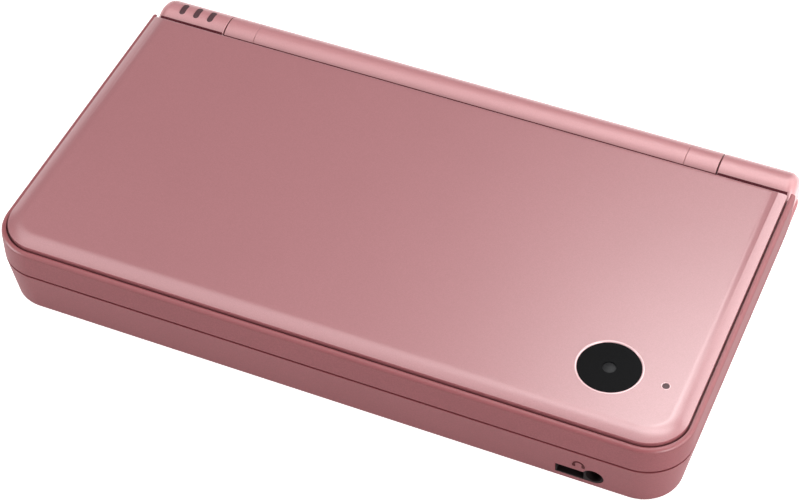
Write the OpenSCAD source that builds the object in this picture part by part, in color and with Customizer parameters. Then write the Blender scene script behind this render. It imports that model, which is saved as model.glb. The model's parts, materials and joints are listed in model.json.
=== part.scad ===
// Clamshell handheld game console, closed, in millimetres.
// Origin: middle of the underside. +X to the right, +Y towards the hinge, +Z up.

/* [Outside] */
// Width over the side walls
body_w = 161; // [150:0.5:175]
// Border in front of the screens, from the front edge
front_border = 9.45; // [9:0.05:14]
// Border behind the screens, up to the hinge barrel
back_border = 4.01; // [4:0.01:6]
// Height of the closed case
closed_h = 21.2; // [20.6:0.1:24]
// Corner radius at the front, seen from above
front_corner_r = 10.6; // [8:0.1:14]
// Corner radius at the back, seen from above
back_corner_r = 6; // [5.6:0.1:8]
// Height of the middle of the gap between lid and base
seam_z = 12.4; // [12.2:0.1:13]
// Gap between the lid rim and the base rim
seam_gap = 0.4; // [0.2:0.05:0.6]
// How far the rubber feet hold the base off the table
foot_h = 0.4; // [0.2:0.1:0.8]

/* [Base shells] */
// Lean of the base walls from the vertical
base_taper = 8.6; // [4:0.2:10]
// Radius along the bottom edge
base_edge_r = 1; // [0.6:0.1:1.4]
// Thickness of the outer walls
wall = 1.8; // [1.4:0.1:2]
// Thickness of the base floor
floor_t = 1.2; // [1:0.1:1.4]
// Depth of the control face below the base rim
face_drop = 0.9; // [0.5:0.1:1.2]
// Thickness of the control face
face_t = 1.3; // [1:0.1:1.5]
// Height of the back wall below the hinge barrel
back_lip_z = 9; // [8.6:0.1:9.4]

/* [Lid] */
// Height of the top of the rim
rim_z = 19.3; // [19:0.1:19.6]
// Radius along the top of the rim
rim_edge_r = 0.9; // [0.5:0.1:1]
// Inset of the groove round the top plate
groove_inset = 1.15; // [1:0.05:1.4]
// Width of the groove
groove_w = 0.35; // [0.2:0.05:0.5]
// Depth of the groove
groove_t = 1; // [0.6:0.1:1.2]
// Radius along the edge of the top plate
plate_edge_r = 3; // [2.2:0.1:3.6]
// Radius along the back edge of the top plate
plate_back_r = 2.4; // [1.6:0.1:2.6]
// Thickness of the top plate
plate_t = 1.4; // [1:0.1:1.5]
// Recess of the screen face inside the lid rim
lid_face_drop = 0.4; // [0.2:0.1:0.6]
// Thickness of the screen bezel
bezel_t = 1; // [0.8:0.1:1.2]
// Thickness of the floor inside the lid
lid_floor_t = 1; // [0.8:0.1:1.1]

/* [Hinge] */
// Radius of the hinge barrel
hinge_r = 5.72; // [5.4:0.02:5.9]
// Height of the hinge axis
hinge_z = 14.07; // [13.9:0.01:14.4]
// Distance from the middle to the gap beside each base housing
knuckle_x = 61.6; // [56:0.1:64]
// Gap between the lid barrel and a base housing
knuckle_gap = 0.3; // [0.2:0.05:0.5]
// Distance from the middle to the ends of the hinge cover
cover_x = 54; // [48:0.1:55]
// Inset of the barrel ends from the side walls
barrel_end = 0.6; // [0.4:0.1:1.5]
// Radius round the barrel ends
barrel_end_r = 2; // [1:0.1:3]
// Gap between the barrel and what turns past it
hinge_gap = 0.4; // [0.35:0.05:0.5]
// Inner radius of the hinge cover
cover_bore_r = 4.4; // [4:0.1:4.5]
// Radius of the click unit
click_r = 3.9; // [3.5:0.1:4.1]
// Radius of the click unit's shaft
shaft_r = 2; // [1.6:0.1:2.6]
// Outer radius of the hinge bush
bush_r = 3.4; // [3:0.1:3.6]
// Wall of the hinge bush
bush_wall = 0.9; // [0.6:0.1:1.1]
// Length that shaft and bush reach into the base housings
bearing_l = 7; // [5:0.5:8]

/* [Screens] */
// Width of the opening for each screen
screen_w = 88; // [84:0.5:96]
// Depth of the opening for each screen
screen_d = 66.5; // [60:0.5:72]
// Corner radius of the screen openings
screen_r = 1.2; // [0.6:0.1:2]
// Border of each panel beyond its opening
panel_border = 1.8; // [1:0.1:2.2]
// Thickness of each screen panel
panel_t = 2.1; // [1.6:0.1:2.2]

/* [Controls] */
// Distance of the control groups behind the middle
controls_y = 6; // [2:0.5:10]
// Width across the d-pad
pad_w = 21; // [18:0.5:22]
// Width of one d-pad arm
pad_arm = 7.4; // [6:0.1:8]
// Radius of a face button
button_r = 3.8; // [3:0.1:4]
// Distance of each face button from the centre of its group
button_ring = 9; // [8:0.1:9.4]
// Radius of the start, select and power buttons
small_button_r = 2.5; // [2:0.1:3]
// Height of the buttons above the control face
button_h = 1.2; // [0.6:0.1:1.3]
// Travel of the buttons
button_travel = 0.7; // [0.4:0.05:0.75]
// Gap round every button
button_gap = 0.25; // [0.2:0.05:0.35]
// Width of each volume button
volume_w = 5.4; // [4:0.1:6]
// Height of each volume button
volume_h = 2.2; // [1.6:0.1:2.6]
// Travel of the volume buttons
volume_travel = 0.4; // [0.3:0.05:0.6]

/* [Triggers] */
// Distance from the middle to the inner end of each trigger
trigger_x = 56; // [52:0.5:58]
// Height of a trigger
trigger_h = 4; // [3:0.1:4.2]
// Thickness of a trigger
trigger_t = 2; // [1.6:0.1:2.4]
// Room in front of each trigger for its swing
trigger_swing = 0.9; // [0.8:0.05:1.2]
// Radius of the trigger pins
trigger_pin_r = 0.75; // [0.6:0.05:0.9]

/* [Camera and lights] */
// Distance of the outer camera from the right edge
camera_side = 21.4; // [18:0.1:30]
// Distance of the outer camera from the front edge
camera_front = 17.3; // [14:0.1:22]
// Radius of the camera window
camera_r = 6.9; // [5:0.1:7.5]
// Radius of the lens
lens_r = 1.45; // [1:0.05:2]
// Distance of the camera light from the right edge
indicator_side = 8.9; // [7.5:0.1:11]
// Distance of the camera light from the front edge
indicator_front = 16.9; // [16:0.1:26]
// Radius of the camera light
indicator_r = 0.8; // [0.5:0.05:1]
// Distance of the outermost status light from the barrel end
light_end = 6; // [5:0.1:7]
// Distance between status lights
light_pitch = 3.7; // [2.5:0.1:4]
// Width of a status light
light_w = 1.15; // [0.8:0.05:1.4]
// Length of a status light round the barrel
light_l = 3.9; // [3:0.1:4.5]

/* [Sockets] */
// Distance of the headphone socket from the middle, to the right
jack_x = 62.2; // [60:0.1:64]
// Height of the headphone socket
jack_z = 4.7; // [4.4:0.1:5]
// Radius of the round opening in the wall
jack_mouth_r = 2.3; // [2.1:0.05:2.5]
// Radius of the plug hole in the jack
jack_r = 1.8; // [1.76:0.01:1.9]
// Depth of the plug hole
jack_depth = 11.5; // [8:0.5:11.5]
// Width of the headset slot beside the round opening
headset_w = 8; // [6:0.1:9]
// Height of the headset slot
headset_h = 1.9; // [1.4:0.1:2.4]
// Distance of the game card slot from the middle, to the right
card_x = 22; // [21.5:0.5:24]
// Width of the game card slot
card_w = 34; // [33:0.5:35]
// Height of the game card slot
card_h = 3.95; // [3.9:0.05:4]
// Depth that a game card goes in
card_d = 33; // [28:0.5:34]
// Distance of the power jack from the middle, to the right
power_x = 49.5; // [47:0.5:50]
// Width of the power jack opening
power_w = 7.2; // [6:0.1:8]
// Height of the power jack opening
power_h = 3.4; // [2.4:0.1:3.6]
// Distance from the middle to the strap bar
strap_x = 42; // [36:0.5:46]
// Width of the strap opening
strap_w = 6.4; // [5:0.1:8]
// Radius of the strap bar
strap_bar_r = 0.8; // [0.6:0.05:1]
// Width of the memory card slot
sd_w = 24.6; // [24.4:0.1:25.4]
// Height of the memory card slot
sd_h = 2.4; // [2.3:0.1:2.6]
// Height of the memory card door
sd_door_h = 3.8; // [3.4:0.1:4]

/* [Stylus] */
// Length of the stylus
stylus_l = 96; // [80:0.5:100]
// Radius of the stylus
stylus_r = 2.8; // [2.2:0.1:2.8]
// Radius of the stylus tip
stylus_tip_r = 0.8; // [0.5:0.1:1.2]
// Distance of the stylus from the front edge
stylus_front = 18.9; // [18.4:0.1:19.4]
// Gap round the stylus
stylus_gap = 0.1; // [0.05:0.01:0.1]

/* [Battery and fixings] */
// Width of the battery
battery_w = 46; // [40:0.5:48]
// Depth of the battery
battery_d = 42; // [36:0.5:42]
// Thickness of the battery
battery_t = 4.9; // [4:0.1:5]
// Distance of the battery from the middle, to the left
battery_x = 29; // [28:0.5:30]
// Ledge round the battery opening
ledge_w = 5; // [4.5:0.1:6]
// Radius of a screw shank
screw_r = 0.8; // [0.6:0.05:1]
// Radius of a screw head
screw_head_r = 1.6; // [1.3:0.1:1.7]
// Height of a screw head
screw_head_t = 0.7; // [0.5:0.1:0.8]
// Radius of a screw boss
boss_r = 2; // [1.8:0.1:2.2]
// Radius of a rubber foot
foot_r = 3.5; // [2.5:0.1:4]
// Radius of a lid bumper
bumper_r = 2.6; // [2:0.1:2.8]

/* [Hidden] */
$fn = 64;

// A hair of overlap where one piece is built from several shapes
bite = 0.05;
// Gap between pieces that only lie beside each other
fit_gap = 0.1;
// Gap between the control face and the walls round it
shell_gap = 0.15;
// Reach of a cut past the face that it opens
past = 5;

// Heights in the base
base_top = seam_z - seam_gap / 2;
base_bottom = foot_h;
floor_top = base_bottom + floor_t;
face_z = base_top - face_drop;
face_under = face_z - face_t;
panel_top = face_under - fit_gap;
board_t = 0.7;
board_top = panel_top - panel_t - 0.25;
board_z = board_top - board_t;
mat_t = 0.3;
dome_h = 0.35;
pad_pivot_z = board_top + 1.05;

// Heights in the lid
lid_bottom = seam_z + seam_gap / 2;
lid_face_z = lid_bottom + lid_face_drop;
bezel_top = lid_face_z + bezel_t;
lid_floor_z = bezel_top + fit_gap;
lid_floor_top = lid_floor_z + lid_floor_t;
plate_seat_z = rim_z - groove_t;
plate_inset = groove_inset + groove_w;
plate_under = closed_h - plate_t;

// Depth from the front edge to the back of the hinge barrel
body_d = front_border + screen_d + back_border + 2 * hinge_r;
screen_y = -body_d / 2 + front_border + screen_d / 2;

// Hinge
hinge_y = body_d / 2 - hinge_r;
sweep_r = hinge_r + hinge_gap;
barrel_x = body_w / 2 - barrel_end;
lid_back_y = hinge_y - sweep_r;
bearing_gap = 0.05;
trough_t = 1.2;
trough_front = hinge_y - sweep_r - 1.3;
trough_under = hinge_z - sweep_r - trough_t;
trough_back = body_d / 2 - wall - taper_inset(trough_under) - shell_gap;

ribbon_roll_r = bush_r - bush_wall - 0.4;
inner_window_r = 2.2;
mic_x = 12;
mic_hole_r = 0.6;

// Screen panels
panel_w = screen_w + 2 * panel_border;
panel_d = screen_d + 2 * panel_border - 2.5;
panel_back_y = panel_d / 2 + screen_y;

// Openings in the walls
trigger_z = trough_under - 0.35 - trigger_h;
trigger_front = hinge_y - 4;
pivot_x = trigger_x + 2;
pivot_y = body_d / 2 - 3.3;
socket_back = body_d / 2 - wall - taper_inset(floor_top) - 0.3;
headset_z = jack_z - headset_h / 2 - 0.2;
card_z = floor_top + 0.7;
power_z = floor_top + 1;
strap_back = body_d / 2 - 6;
strap_top = trough_under - 0.1;
stylus_y = -body_d / 2 + stylus_front;
stylus_x = body_w / 2 - stylus_l - 1.5;
stylus_z = floor_top + 0.3 + stylus_r;
sd_y = 4;
sd_z = floor_top + 1.6;
sd_door_z = sd_z - 0.8;
sd_door_w = sd_w + 2;
door_gap = 0.2;
volume_y = 8;
volume_z = 5.2;
volume_pitch = volume_w + 1.6;
battery_z = floor_top + 0.2;
cover_w = battery_w + 2 * ledge_w + 6;
cover_d = battery_d + 6;
cover_y = stylus_y + stylus_r + 1 + cover_d / 2;
cover_screw_x = battery_w / 2 + 0.5 + ledge_w / 2 + 0.6;
// The controls sit in the middle of the room between the screen panel and the wall
controls_x = whole((panel_w / 2 + body_w / 2 - wall - taper_inset(board_top)) / 2);
small_x = controls_x - 2.5;
start_y = controls_y - 21;
select_y = start_y - 7.5;
power_button_y = controls_y - 30;
led_count = 3;
light_lean = 4.5;
pad_board_w = 22;
pad_board_d = 50;
board_front = stylus_y + stylus_r + 4;
radio_x = 34;
radio_y = -6;

// Places of what sits near the edges, measured from them
camera_x = body_w / 2 - camera_side;
camera_y = -body_d / 2 + camera_front;
indicator_x = body_w / 2 - indicator_side;
indicator_y = -body_d / 2 + indicator_front;
case_screw_x = body_w / 2 - 6;
case_screw_front = -body_d / 2 + 11.2;
case_screw_back = body_d / 2 - 18.2;
front_screw_x = 20;
front_screw_y = -body_d / 2 + 5.5;
lid_screw_x = body_w / 2 - 8;
lid_screw_front = -body_d / 2 + 10.5;
lid_screw_back = body_d / 2 - 18.7;
foot_x = body_w / 2 - 14.5;
foot_front = -body_d / 2 + 12.7;
foot_back = body_d / 2 - 16.7;
speaker_x = controls_x;
speaker_w = 12;
speaker_d = 20;
speaker_r = 4;
sound_slot_w = 1.1;
sound_slot_d = 3.2;
magnet_x = -controls_x - 1.5;
magnet_y = -body_d / 2 + 17.7;

// How far the leaning base wall stands in from the rim at a height
function taper_inset(z) = whole((base_top - z) * tan(base_taper));
// Rounded to a thousandth, so that faces meant to meet do meet
function whole(v) = round(v * 1000) / 1000;
// Points along an arc round a centre, from one angle to another
function arc(centre, r, from, to, steps) = [
  for (i = [0 : steps])
    let (angle = from + (to - from) * i / steps)
      [whole(centre[0] + r * cos(angle)), whole(centre[1] + r * sin(angle))]
];

// Outer face of the base, from the bottom edge to the rim, as [inset, height]
base_edge_z = base_bottom + base_edge_r;
base_edge = concat(
  arc([taper_inset(base_edge_z) + base_edge_r, base_edge_z], base_edge_r, 270, 180, 6),
  [[0, base_top]]
);
// Outer face of the lid rim
rim_edge = concat(
  [[0, lid_bottom]],
  arc([rim_edge_r + 0.1, rim_z - rim_edge_r], rim_edge_r, 180, 90, 6)
);
// Edge of the top plate: the arc meets the flat top and is cut off at the groove
plate_rise = min(plate_edge_r, closed_h - rim_z - 0.1);
plate_run = sqrt(pow(plate_edge_r, 2) - pow(plate_edge_r - plate_rise, 2));
plate_edge = concat(
  [[plate_inset, plate_seat_z]],
  arc([plate_inset + plate_run, closed_h - plate_edge_r], plate_edge_r,
    180 - asin((plate_edge_r - plate_rise) / plate_edge_r), 90, 8)
);

// ---- shapes that repeat ----

// A solid with a rounded outline whose edge follows [inset, height] points from bottom to top
module slab(edge) {
  front_r = front_corner_r;
  back_r = back_corner_r;
  side_x = body_w / 2 - front_r;
  front_y = -body_d / 2 + front_r;
  back_y = body_d / 2 - back_r;
  last = len(edge) - 1;
  front_points = [for (p = edge) [-body_d / 2 + p[0], p[1]]];
  back_points = [for (i = [last : -1 : 0]) [body_d / 2 - edge[i][0], edge[i][1]]];
  translate([-side_x, 0, 0])
    rotate([90, 0, 90])
      linear_extrude(2 * side_x)
        polygon(concat(front_points, back_points));
  both_sides() {
    translate([0, back_y, 0])
      rotate([90, 0, 0])
        linear_extrude(back_y - front_y)
          edge_face(edge, side_x, body_w / 2);
    translate([side_x, 0, 0])
      rotate([90, 0, 90])
        linear_extrude(front_r - back_r)
          edge_face(edge, back_y, body_d / 2);
    translate([side_x, front_y, 0])
      rotate([0, 0, -90])
        rotate_extrude(angle = 90)
          edge_face(edge, 0, front_r);
    translate([body_w / 2 - back_r, back_y, 0])
      rotate_extrude(angle = 90)
        edge_face(edge, 0, back_r);
  }
}

// The face between a flat start and an edge laid back from a distance
module edge_face(edge, start, reach) {
  outer = [for (p = edge) [reach - p[0], p[1]]];
  polygon(concat([[start, edge[0][1]]], outer, [[start, edge[len(edge) - 1][1]]]));
}

// The base's outer block
module base_block() {
  slab(base_edge);
}

// A straight-walled block with the outline moved in by an inset
module inner_block(inset, low, high) {
  slab([[inset, low], [inset, high]]);
}

// A box given by its low and high corners
module span(low, high) {
  translate(low)
    cube(high - low);
}

// A plate with rounded corners, centred on a point
module pad(x, y, w, d, r, low, high) {
  translate([x, y, low])
    linear_extrude(high - low) {
      square([w - 2 * r, d], center = true);
      square([w, d - 2 * r], center = true);
      for (i = [-1, 1])
        for (j = [-1, 1])
          translate([i * (w / 2 - r), j * (d / 2 - r)])
            circle(r);
    }
}

// Draws its children on the right and mirrored on the left
module both_sides() {
  children();
  mirror([1, 0, 0])
    children();
}

// A round rod along X on the hinge axis
module hinge_rod(x0, x1, r) {
  translate([x0, hinge_y, hinge_z])
    rotate([0, 90, 0])
      cylinder(h = x1 - x0, r = r);
}

// An upright rod
module post(x, y, low, high, r) {
  translate([x, y, low])
    cylinder(h = high - low, r = r);
}

// Everything in front of a line across the case
module in_front_of(y) {
  span([-body_w, -body_d, -past], [body_w, y, closed_h + past]);
}

// ---- lid ----

// Rods at the four places where screws hold the lid together
module lid_screw_posts(low, high, r) {
  for (x = [-lid_screw_x, lid_screw_x])
    for (y = [lid_screw_front, lid_screw_back])
      post(x, y, low, high, r);
}

// Side view of the top plate, with its rounded back edge
module plate_side_view() {
  back = hinge_y - sqrt(pow(sweep_r, 2) - pow(plate_seat_z - hinge_z, 2));
  translate([-body_w / 2, 0, 0])
    rotate([90, 0, 90])
      linear_extrude(body_w)
        polygon(concat(
          [[-body_d, plate_seat_z - past], [-body_d, closed_h]],
          arc([back - plate_back_r, closed_h - plate_back_r], plate_back_r, 90, 0, 8),
          [[back, plate_seat_z - past]]
        ));
}

module lid_cover() {
  color([0.82, 0.6, 0.61])
    difference() {
      union() {
        difference() {
          intersection() {
            slab(plate_edge);
            plate_side_view();
          }
          intersection() {
            inner_block(plate_inset + 3, plate_seat_z - past, plate_under);
            in_front_of(lid_back_y - 1.6);
          }
        }
        lid_screw_posts(lid_floor_top, plate_under + bite, boss_r);
      }
      lid_screw_posts(lid_floor_top - past, plate_under - 0.4, screw_r);
      translate([camera_x, camera_y, 0]) {
        cylinder(h = closed_h + past, r = camera_r + fit_gap);
        translate([0, 0, closed_h - 0.35])
          cylinder(h = 0.7, r1 = camera_r + fit_gap, r2 = camera_r + fit_gap + 0.7);
      }
      post(indicator_x, indicator_y, 0, closed_h + past, indicator_r + bearing_gap);
      hinge_rod(-body_w, body_w, sweep_r);
    }
}

module lid_frame() {
  cavity_inset = plate_inset + 1.5;
  color([0.62, 0.4, 0.43])
    difference() {
      union() {
        intersection() {
          slab(rim_edge);
          in_front_of(lid_back_y + 2.4);
        }
        both_sides()
          hinge_rod(cover_x, knuckle_x, hinge_r);
        span([-knuckle_x, lid_back_y - 1, lid_floor_z], [knuckle_x, hinge_y - 3, hinge_z + 3]);
      }
      // Room for the works, the plate seat and the bezel
      intersection() {
        inner_block(cavity_inset, lid_floor_top, closed_h);
        in_front_of(lid_back_y - 1.6);
      }
      inner_block(groove_inset, plate_seat_z, closed_h);
      intersection() {
        inner_block(wall - fit_gap, lid_bottom - past, lid_floor_z);
        in_front_of(lid_back_y - 0.3);
      }
      // Clear of the base housings
      both_sides() {
        hinge_rod(knuckle_x, body_w, sweep_r);
        span([knuckle_x, lid_back_y, 0], [body_w, body_d, hinge_z]);
      }
      // Seat of the hinge cover
      hinge_rod(-cover_x, cover_x, hinge_r + fit_gap / 2);
      span([-cover_x, lid_back_y - 3, hinge_z - 0.2], [cover_x, hinge_y, hinge_z + 2.2]);
      span([-body_w, lid_back_y - 0.3, 0], [body_w, body_d, lid_floor_z]);
      // Bores for the click unit and the bush
      hinge_rod(cover_x - past, knuckle_x + past, click_r);
      hinge_rod(-knuckle_x - past, -cover_x + past, bush_r);
      // Windows for the panel and the speakers
      pad(0, screen_y, panel_w + 0.4, panel_d + 0.4, screen_r, lid_bottom, plate_seat_z);
      both_sides()
        pad(speaker_x, 0, speaker_w + 0.4, speaker_d + 0.4, speaker_r, lid_bottom, plate_seat_z);
      lid_screw_posts(lid_floor_z - past, lid_floor_z + 0.5, screw_head_r + fit_gap);
      lid_screw_posts(0, closed_h, screw_r + fit_gap);
    }
}

module lid_bezel() {
  color([0.93, 0.92, 0.9])
    difference() {
      intersection() {
        inner_block(wall, lid_face_z, bezel_top);
        in_front_of(lid_back_y - 0.4);
      }
      pad(0, screen_y, screen_w, screen_d, screen_r, 0, closed_h);
      lid_screw_posts(0, closed_h, bumper_r + fit_gap);
      both_sides()
        for (i = [-1 : 1])
          for (j = [-1, 1])
            pad(speaker_x + j * 2, i * 4.6, sound_slot_w, sound_slot_d, 0.5, 0, closed_h);
    }
}

module hinge_cover() {
  half = cover_x - bearing_gap;
  color([0.86, 0.64, 0.65])
    difference() {
      union() {
        hinge_rod(-half, half, hinge_r);
        span([-half, lid_back_y - 2.8, hinge_z], [half, hinge_y - cover_bore_r, hinge_z + 2]);
      }
      hinge_rod(-cover_x, cover_x, cover_bore_r);
      post(0, hinge_y, 0, hinge_z, inner_window_r + fit_gap);
      post(mic_x, hinge_y, 0, hinge_z, mic_hole_r);
      ribbon_band(fit_gap);
    }
}

// Glass that fills a screen opening
module screen_glass(low, high) {
  pad(0, screen_y, screen_w - 2 * fit_gap, screen_d - 2 * fit_gap, screen_r, low, high);
}

module upper_screen_window() {
  color([0.08, 0.08, 0.09])
    screen_glass(lid_face_z + 0.1, bezel_top);
}

module upper_screen_panel() {
  color([0.2, 0.22, 0.25])
    pad(0, screen_y, panel_w, panel_d, 0.8, lid_floor_z, lid_floor_z + panel_t);
}

module speaker() {
  frame_top = lid_floor_z + 2.4;
  rim = 1.2;
  difference() {
    union() {
      pad(0, 0, speaker_w, speaker_d, speaker_r - 0.2, lid_floor_z, frame_top);
      post(0, 0, frame_top - bite, frame_top + 0.8, 4.2);
    }
    pad(0, 0, speaker_w - 2 * rim, speaker_d - 2 * rim, speaker_r - rim, lid_bottom, lid_floor_z + 0.8);
  }
}

module left_speaker() {
  color([0.15, 0.15, 0.16])
    translate([-speaker_x, 0, 0])
      speaker();
}

module right_speaker() {
  color([0.15, 0.15, 0.16])
    translate([speaker_x, 0, 0])
      speaker();
}

module camera_window() {
  color([0.07, 0.07, 0.07])
    difference() {
      post(camera_x, camera_y, plate_under - 0.2, closed_h - 0.15, camera_r);
      post(camera_x, camera_y, 0, closed_h, lens_r + bearing_gap);
    }
}

module camera_lens() {
  color([0.25, 0.25, 0.27])
    post(camera_x, camera_y, plate_under - 0.2, closed_h - 0.3, lens_r);
}

module camera_module() {
  color([0.3, 0.28, 0.25])
    union() {
      pad(camera_x, camera_y, 9, 9, 0.6, lid_floor_top, lid_floor_top + 2);
      post(camera_x, camera_y, lid_floor_top + 2 - bite, plate_under - 0.25, 3.2);
    }
}

module camera_indicator() {
  color([0.4, 0.3, 0.32])
    post(indicator_x, indicator_y, lid_floor_top, closed_h - 0.05, indicator_r);
}

module inner_camera_window() {
  color([0.07, 0.07, 0.07])
    intersection() {
      post(0, hinge_y, 0, hinge_z, inner_window_r);
      difference() {
        hinge_rod(-3, 3, hinge_r - 0.1);
        hinge_rod(-4, 4, cover_bore_r + 0.1);
      }
    }
}

module inner_camera_module() {
  color([0.3, 0.28, 0.25])
    span([-3, hinge_y - 2.5, hinge_z - 3.4], [3, hinge_y + 2.5, hinge_z + 1]);
}

module microphone() {
  color([0.7, 0.68, 0.6])
    post(mic_x, hinge_y, hinge_z - 3.8, hinge_z - 1.6, 1.8);
}

module lid_magnet() {
  color([0.6, 0.6, 0.62])
    pad(magnet_x, magnet_y, 8, 4, 0.5, lid_floor_top, lid_floor_top + 1.8);
}

module lid_screws() {
  color([0.35, 0.35, 0.37])
    union() {
      lid_screw_posts(lid_floor_z + 0.6 - screw_head_t, lid_floor_z + 0.5, screw_head_r);
      lid_screw_posts(lid_floor_z + 0.5 - bite, plate_under - 1, screw_r);
    }
}

module lid_bumpers() {
  color([0.85, 0.84, 0.82])
    union() {
      lid_screw_posts(lid_face_z, lid_face_z + 0.7, bumper_r);
      lid_screw_posts(face_z + 0.08, lid_face_z + bite, bumper_r - 0.5);
    }
}

module hinge_click_unit() {
  color([0.65, 0.65, 0.68])
    union() {
      hinge_rod(cover_x - 4, knuckle_x - 0.1, click_r);
      hinge_rod(knuckle_x - 0.2, knuckle_x + knuckle_gap + bearing_l, shaft_r);
    }
}

module hinge_bush() {
  color([0.7, 0.7, 0.72])
    difference() {
      hinge_rod(-knuckle_x - knuckle_gap - bearing_l, -cover_x + 3, bush_r);
      hinge_rod(-body_w, 0, bush_r - bush_wall);
    }
}

// The flat part of the ribbon, from the roll to the back of the upper panel
module ribbon_band(grow) {
  span([-cover_x + 6 - grow, panel_back_y + fit_gap - grow, hinge_z + ribbon_roll_r - 0.5 - grow],
    [-cover_x + 14 + grow, hinge_y, hinge_z + ribbon_roll_r - 0.1 + grow]);
}

module screen_ribbon() {
  color([0.75, 0.5, 0.2])
    difference() {
      union() {
        hinge_rod(-knuckle_x - knuckle_gap - bearing_l - 1, -cover_x + 14, ribbon_roll_r);
        ribbon_band(0);
      }
      hinge_rod(-body_w, 0, ribbon_roll_r - 0.5);
    }
}

// ---- base ----

// Place of the bar that a wrist strap loops round
module strap_post() {
  post(-strap_x, body_d / 2 - 3, floor_top - 0.6, trough_under + 0.8, strap_bar_r);
}

// Channel for the stylus
module stylus_bore(r) {
  translate([stylus_x, stylus_y, stylus_z])
    rotate([0, 90, 0])
      cylinder(h = stylus_l + past, r = r);
}

// Room cut out of the wall for one trigger
module trigger_room() {
  span([trigger_x - 0.3, trigger_front - trigger_swing, trigger_z - 0.2],
    [body_w, body_d, trigger_z + trigger_h + 0.2]);
}

module case_screw_posts(low, high, r) {
  case_screw_sites()
    post(0, 0, low, high, r);
}

// The six places where screws hold the base together
module case_screw_sites() {
  for (x = [-case_screw_x, case_screw_x])
    for (y = [case_screw_front, case_screw_back])
      translate([x, y, 0])
        children();
  for (x = [-front_screw_x, front_screw_x])
    translate([x, front_screw_y, 0])
      children();
}

module foot_posts(low, high, r) {
  for (x = [-foot_x, foot_x])
    for (y = [foot_front, foot_back])
      post(x, y, low, high, r);
}

module base_bottom_shell() {
  cavity_edge = [
    [taper_inset(floor_top) + wall, floor_top],
    [wall, base_top + bite]
  ];
  rib_w = 1.6;
  rib_d = 2 * stylus_r + 2.4;
  color([0.6, 0.38, 0.41])
    difference() {
      union() {
        difference() {
          base_block();
          slab(cavity_edge);
        }
        // Ledge that the battery cover closes on, and its bosses
        pad(-battery_x, cover_y, cover_w + 2, cover_d + 2, 2, base_bottom + 0.4, floor_top + 0.6);
        cover_screw_sites()
          post(0, 0, base_bottom + 0.4, board_z - 1.2, boss_r);
        // Ribs that carry the stylus
        for (x = [stylus_x + 3, stylus_x + stylus_l / 2 - 1])
          span([x, stylus_y - rib_d / 2, floor_top - bite],
            [x + rib_w, stylus_y + rib_d / 2, stylus_z + stylus_r - 0.3]);
        foot_pockets();
        // Pocket behind the strap bar
        span([-strap_x - strap_w / 2 - 0.8, strap_back - 0.8, floor_top - bite],
          [-strap_x + strap_w / 2 + 0.8, body_d / 2 - 3, strap_top]);
      }
      // Battery opening
      pad(-battery_x, cover_y, cover_w, cover_d, 1.5, -past, floor_top - 0.2);
      pad(-battery_x, cover_y, battery_w + 1, battery_d + 1, 1.5, -past, board_z);
      cover_screw_sites()
        post(0, 0, 0, board_z - 1.6, screw_r);
      // Back wall below the barrel, and the seats of the hinge housings
      span([-body_w, lid_back_y, back_lip_z], [body_w, body_d, closed_h]);
      // Triggers
      both_sides()
        trigger_room();
      // Game card, power and strap openings
      back_opening(card_x, card_w, card_z, card_h);
      back_opening(power_x, power_w, power_z, power_h);
      back_opening(-strap_x, strap_w, floor_top + 0.6, strap_top - floor_top - 1);
      strap_post();
      // Headphone and headset openings
      translate([jack_x, -body_d / 2 + 4, jack_z])
        rotate([90, 0, 0])
          cylinder(h = 4 + past, r = jack_mouth_r);
      span([jack_x - headset_w, -body_d, headset_z], [jack_x, -body_d / 2 + 4, headset_z + headset_h]);
      // Stylus, memory card door and volume buttons
      stylus_bore(stylus_r + stylus_gap);
      translate([0, sd_y, sd_door_z + sd_door_h / 2])
        side_bar(body_w / 2 - 4, body_w, sd_door_w + 2 * door_gap, sd_door_h + 2 * door_gap);
      for (side = [-1, 1])
        translate([0, volume_y + side * volume_pitch / 2, volume_z])
          side_bar(-body_w, -body_w / 2 + 5, volume_w + 2 * button_gap, volume_h + 2 * button_gap);
      // Feet, and the screws with their sunk heads
      foot_posts(-past, base_bottom + 0.7, foot_r);
      case_screw_posts(0, floor_top + 0.7, screw_r + 0.1);
      case_screw_posts(0, base_bottom + 0.3 + screw_head_t, screw_head_r + fit_gap);
      pivot_posts(floor_top - 0.6, back_lip_z);
    }
}

// An opening through the back wall, centred on x
module back_opening(x, wide, low, high) {
  span([x - wide / 2, strap_back, low], [x + wide / 2, body_d, low + high]);
}

// A bar along X with its middle on the X axis
module side_bar(x0, x1, wide, high) {
  span([x0, -wide / 2, -high / 2], [x1, wide / 2, high / 2]);
}

// The pins that the triggers turn on, or their holes
module pivot_posts(low, high) {
  both_sides()
    post(pivot_x, pivot_y, low, high, trigger_pin_r);
}

// The two places where screws hold the battery cover
module cover_screw_sites() {
  for (side = [-1, 1])
    translate([-battery_x + side * cover_screw_x, cover_y, 0])
      children();
}

// Thicker floor round the feet and the case screws
module foot_pockets() {
  foot_posts(base_bottom + 0.4, floor_top + 0.6, foot_r + 1);
  case_screw_posts(base_bottom + 0.4, floor_top + 0.6, boss_r + 0.6);
}

module face_button_places() {
  for (a = [0 : 90 : 270])
    translate([controls_x + button_ring * cos(a), controls_y + button_ring * sin(a), 0])
      children();
}

module pad_cross(grow, low, high) {
  pad(-controls_x, controls_y, pad_w + 2 * grow, pad_arm + 2 * grow, 1.2, low, high);
  pad(-controls_x, controls_y, pad_arm + 2 * grow, pad_w + 2 * grow, 1.2, low, high);
}

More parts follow.
